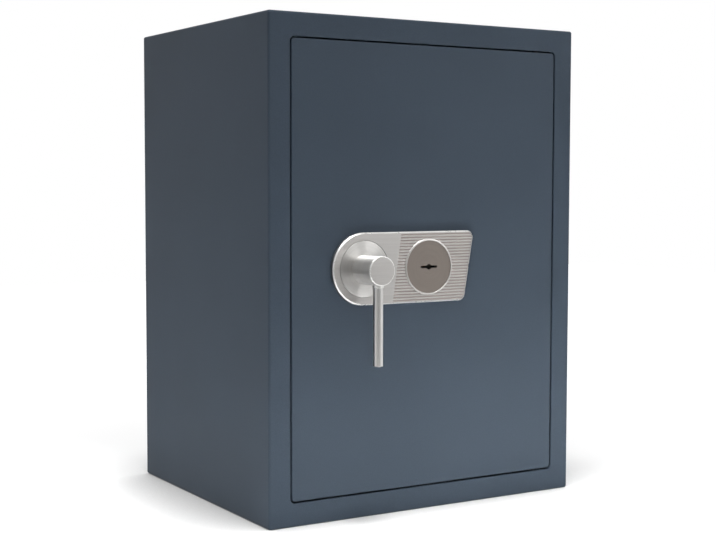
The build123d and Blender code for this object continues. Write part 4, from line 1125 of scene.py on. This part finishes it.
class SAFE_OT_studio(Operator):
    """Sets the pale floor, the soft lights, the surround and the camera"""
    bl_idname = "safe.studio"
    bl_label = "Studio"

    def area_light(self, name, watts, place, aim, size, spread):
        """A rectangular light that looks at a point."""
        alone()
        turn = (Vector(aim) - Vector(place)).to_track_quat("-Z", "Y").to_euler()
        bpy.ops.object.light_add(type="AREA", location=place, rotation=turn)
        lamp = bpy.context.object
        lamp.name = name
        lamp.data.shape = "RECTANGLE"
        lamp.data.size, lamp.data.size_y = size
        lamp.data.energy = watts
        lamp.data.spread = radians(spread)

    def background_rays(self, tree):
        """Two masks: rays straight from the camera, and those rays or ones mirrored or through glass."""
        path = tree.node("LightPath")
        camera_ray = path.outputs["Is Camera Ray"]
        shiny_ray = tree.calc("MAXIMUM", path.outputs["Is Glossy Ray"], path.outputs["Is Transmission Ray"])
        return camera_ray, tree.calc("MAXIMUM", camera_ray, shiny_ray)

    def mix(self, tree, factor, first, second, output):
        """Two shaders mixed by a mask and fed to the tree's output."""
        mixed = tree.node("MixShader")
        tree.feed(mixed.inputs[0], factor)
        tree.feed(mixed.inputs[1], first)
        tree.feed(mixed.inputs[2], second)
        tree.feed(tree.node(output).inputs["Surface"], mixed.outputs[0])

    def floor_material(self, studio):
        """A pale floor for the light, and for the camera a white glow over the real soft shadow, with a
        painted shadow round the object.
        """
        material = bpy.data.materials.new("Studio Floor")
        material.use_nodes = True
        tree = Tree(material.node_tree)
        material.node_tree.nodes.clear()
        place = tree.place()
        tone = tree.between(tree.noise(place, 3.0), 0.83, 0.85, from_low=0.3, from_high=0.7)
        grey = tree.node("CombineColor")
        for channel in grey.inputs:
            tree.feed(channel, tone)
        lit = tree.node("BsdfDiffuse")
        tree.feed(lit.inputs["Color"], grey.outputs[0])
        camera_ray, background_ray = self.background_rays(tree)
        shown = tree.node("BsdfDiffuse")
        tree.feed(shown.inputs["Color"], tree.between(camera_ray, 0.26, 0.36))
        # Painted shadow: the glow is weaker near the object and where the object shuts the floor in.
        painted_shade_near_object = tree.between(tree.vector("LENGTH", place), 0.80, 1.0, from_low=0.3, from_high=1.3)
        painted_shadow_occlusion = tree.node("AmbientOcclusion", samples=16)
        tree.feed(painted_shadow_occlusion.inputs["Distance"], 0.2)
        painted_contact_shadow = tree.between(painted_shadow_occlusion.outputs["AO"], 0.0, 1.0, from_low=0.25, from_high=0.95)
        # The camera's white glow times the painted shadow round the object.
        white = tree.calc("MULTIPLY", painted_shade_near_object, painted_contact_shadow)
        side = tree.vector("DOT_PRODUCT", place, Vector(studio.dim_side))
        room = tree.between(side, 0.9, 0.9 * studio.room, from_low=0.2, from_high=1.4)
        glow = tree.node("Emission")
        tree.feed(glow.inputs["Strength"], tree.between(camera_ray, room, white))
        shadowed = tree.node("AddShader")
        tree.feed(shadowed.inputs[0], shown.outputs[0])
        tree.feed(shadowed.inputs[1], glow.outputs[0])
        self.mix(tree, background_ray, lit.outputs[0], shadowed.outputs[0], "OutputMaterial")
        return material

    def surround(self, studio):
        """Soft light from all round, stronger behind at the right. Camera and metal see a white room.

        The room that the metal mirrors is dim on the photographer's side.
        """
        world = bpy.data.worlds.new("Studio Surround")
        bpy.context.scene.world = world
        world.use_nodes = True
        tree = Tree(world.node_tree)
        world.node_tree.nodes.clear()
        heading = tree.node("TexCoord").outputs["Generated"]
        parts = tree.node("SeparateXYZ")
        tree.feed(parts.inputs[0], heading)
        far = tree.vector("DOT_PRODUCT", heading, Vector(studio.bright_side))
        bright = tree.between(far, 1.0, studio.bright_factor, from_low=0.1, from_high=0.9)
        side = tree.vector("DOT_PRODUCT", heading, Vector(studio.dim_side))
        room = tree.between(side, 1.0, studio.room, from_low=0.45, from_high=0.98)
        overhead = tree.between(parts.outputs[2], 0.0, 1.0, from_low=0.25, from_high=0.85)
        backdrop = tree.calc("MAXIMUM", room, overhead)
        camera_ray, background_ray = self.background_rays(tree)
        lights = []
        for strength in (
            tree.calc("MULTIPLY", bright, studio.surround), tree.calc("MAXIMUM", camera_ray, backdrop),
        ):
            light = tree.node("Background")
            tree.feed(light.inputs["Color"], (1, 1, 1, 1))
            tree.feed(light.inputs["Strength"], strength)
            lights.append(light.outputs[0])
        self.mix(tree, background_ray, *lights, "OutputWorld")

    def camera(self):
        """The photographer's place: left of the front, a little above the middle."""
        place = (-0.95016, -1.57868, 0.40911)
        yaw, pitch, roll = radians(31.256), radians(-3.826), radians(0.1135)
        ahead = Vector((sin(yaw) * cos(pitch), cos(yaw) * cos(pitch), sin(pitch)))
        right = Vector((cos(yaw), -sin(yaw), 0))
        up = right.cross(ahead)
        turned_right = right * cos(roll) + up * sin(roll)
        turned_up = up * cos(roll) - right * sin(roll)
        turn = Matrix((turned_right, turned_up, -ahead)).transposed().to_euler()
        alone()
        bpy.ops.object.camera_add(location=place, rotation=turn)
        camera = bpy.context.object
        camera.name = "photo_camera"
        camera.data.lens = 69.03
        camera.data.sensor_width = 36
        camera.data.clip_end = 60
        bpy.context.scene.camera = camera

    def execute(self, context):
        studio = context.scene.safe_studio
        alone()
        bpy.ops.mesh.primitive_plane_add(size=studio.floor_size, location=(0, 0, 0))
        floor = settle("studio_floor")
        floor.data.materials.append(self.floor_material(studio))
        middle = (0, 0, 0.3)
        lights = (
            ("key_light", studio.key_power, (1.4, -1.2, 1.3), middle, (1.1, 1.1), 180),
            ("fill_light", studio.fill_power, (-2.6, -0.9, 1.1), middle, (0.9, 1.2), 180),
            ("top_light", studio.top_power, (-0.5, -0.9, 2.0), (0, -0.3, 0.3), (1.0, 0.7), 180),
            ("floor_light", studio.floor_power, (0.3, -0.40, 1.7), (0.3, -0.40, 0), (1.2, 0.24), 16),
            ("side_floor_light", studio.side_power, (-0.5, 0, 1.7), (-0.5, 0, 0), (0.36, 0.8), 12),
        )
        for light in lights:
            self.area_light(*light)
        self.surround(studio)
        self.camera()
        context.scene.view_settings.view_transform = "Standard"
        return {"FINISHED"}


class SAFE_PT_panel(Panel):
    """The cabinet's building steps in the 3D view's sidebar"""
    bl_idname = "SAFE_PT_panel"
    bl_label = "Safe Cabinet"
    bl_space_type = "VIEW_3D"
    bl_region_type = "UI"
    bl_category = "Safe"

    def draw(self, context):
        for step in steps_in_order:
            self.layout.operator(step.bl_idname)
        for settings in setting_groups:
            group = getattr(context.scene, settings)
            box = self.layout.box()
            for name in group.bl_rna.properties.keys():
                if name not in ("rna_type", "name"):
                    box.prop(group, name)


setting_groups = {
    "safe_cabinet": CabinetSizes,
    "safe_lock_plate": LockPlateSizes,
    "safe_handle": HandleSizes,
    "safe_screws": ScrewSizes,
    "safe_colours": FinishColours,
    "safe_studio": StudioSettings,
}

steps_in_order = [
    SAFE_OT_studio,
    SAFE_OT_frame_finishes,
    SAFE_OT_casing,
    SAFE_OT_door_leaf,
    SAFE_OT_lock_plate,
    SAFE_OT_key_rosette,
    SAFE_OT_handle,
    SAFE_OT_cover_screws,
]


def register():
    for name, group in setting_groups.items():
        bpy.utils.register_class(group)
        setattr(bpy.types.Scene, name, PointerProperty(type=group))
    for step in steps_in_order:
        bpy.utils.register_class(step)
    bpy.utils.register_class(SAFE_PT_panel)


def unregister():
    bpy.utils.unregister_class(SAFE_PT_panel)
    for step in reversed(steps_in_order):
        bpy.utils.unregister_class(step)
    for name, group in setting_groups.items():
        delattr(bpy.types.Scene, name)
        bpy.utils.unregister_class(group)


def main():
    """Registers the add-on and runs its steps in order."""
    register()
    bpy.ops.safe.studio()
    bpy.ops.safe.frame_finishes()
    bpy.ops.safe.casing()
    bpy.ops.safe.door_leaf()
    bpy.ops.safe.lock_plate()
    bpy.ops.safe.key_rosette()
    bpy.ops.safe.handle()
    bpy.ops.safe.cover_screws()


if __name__ == "__main__":
    main()
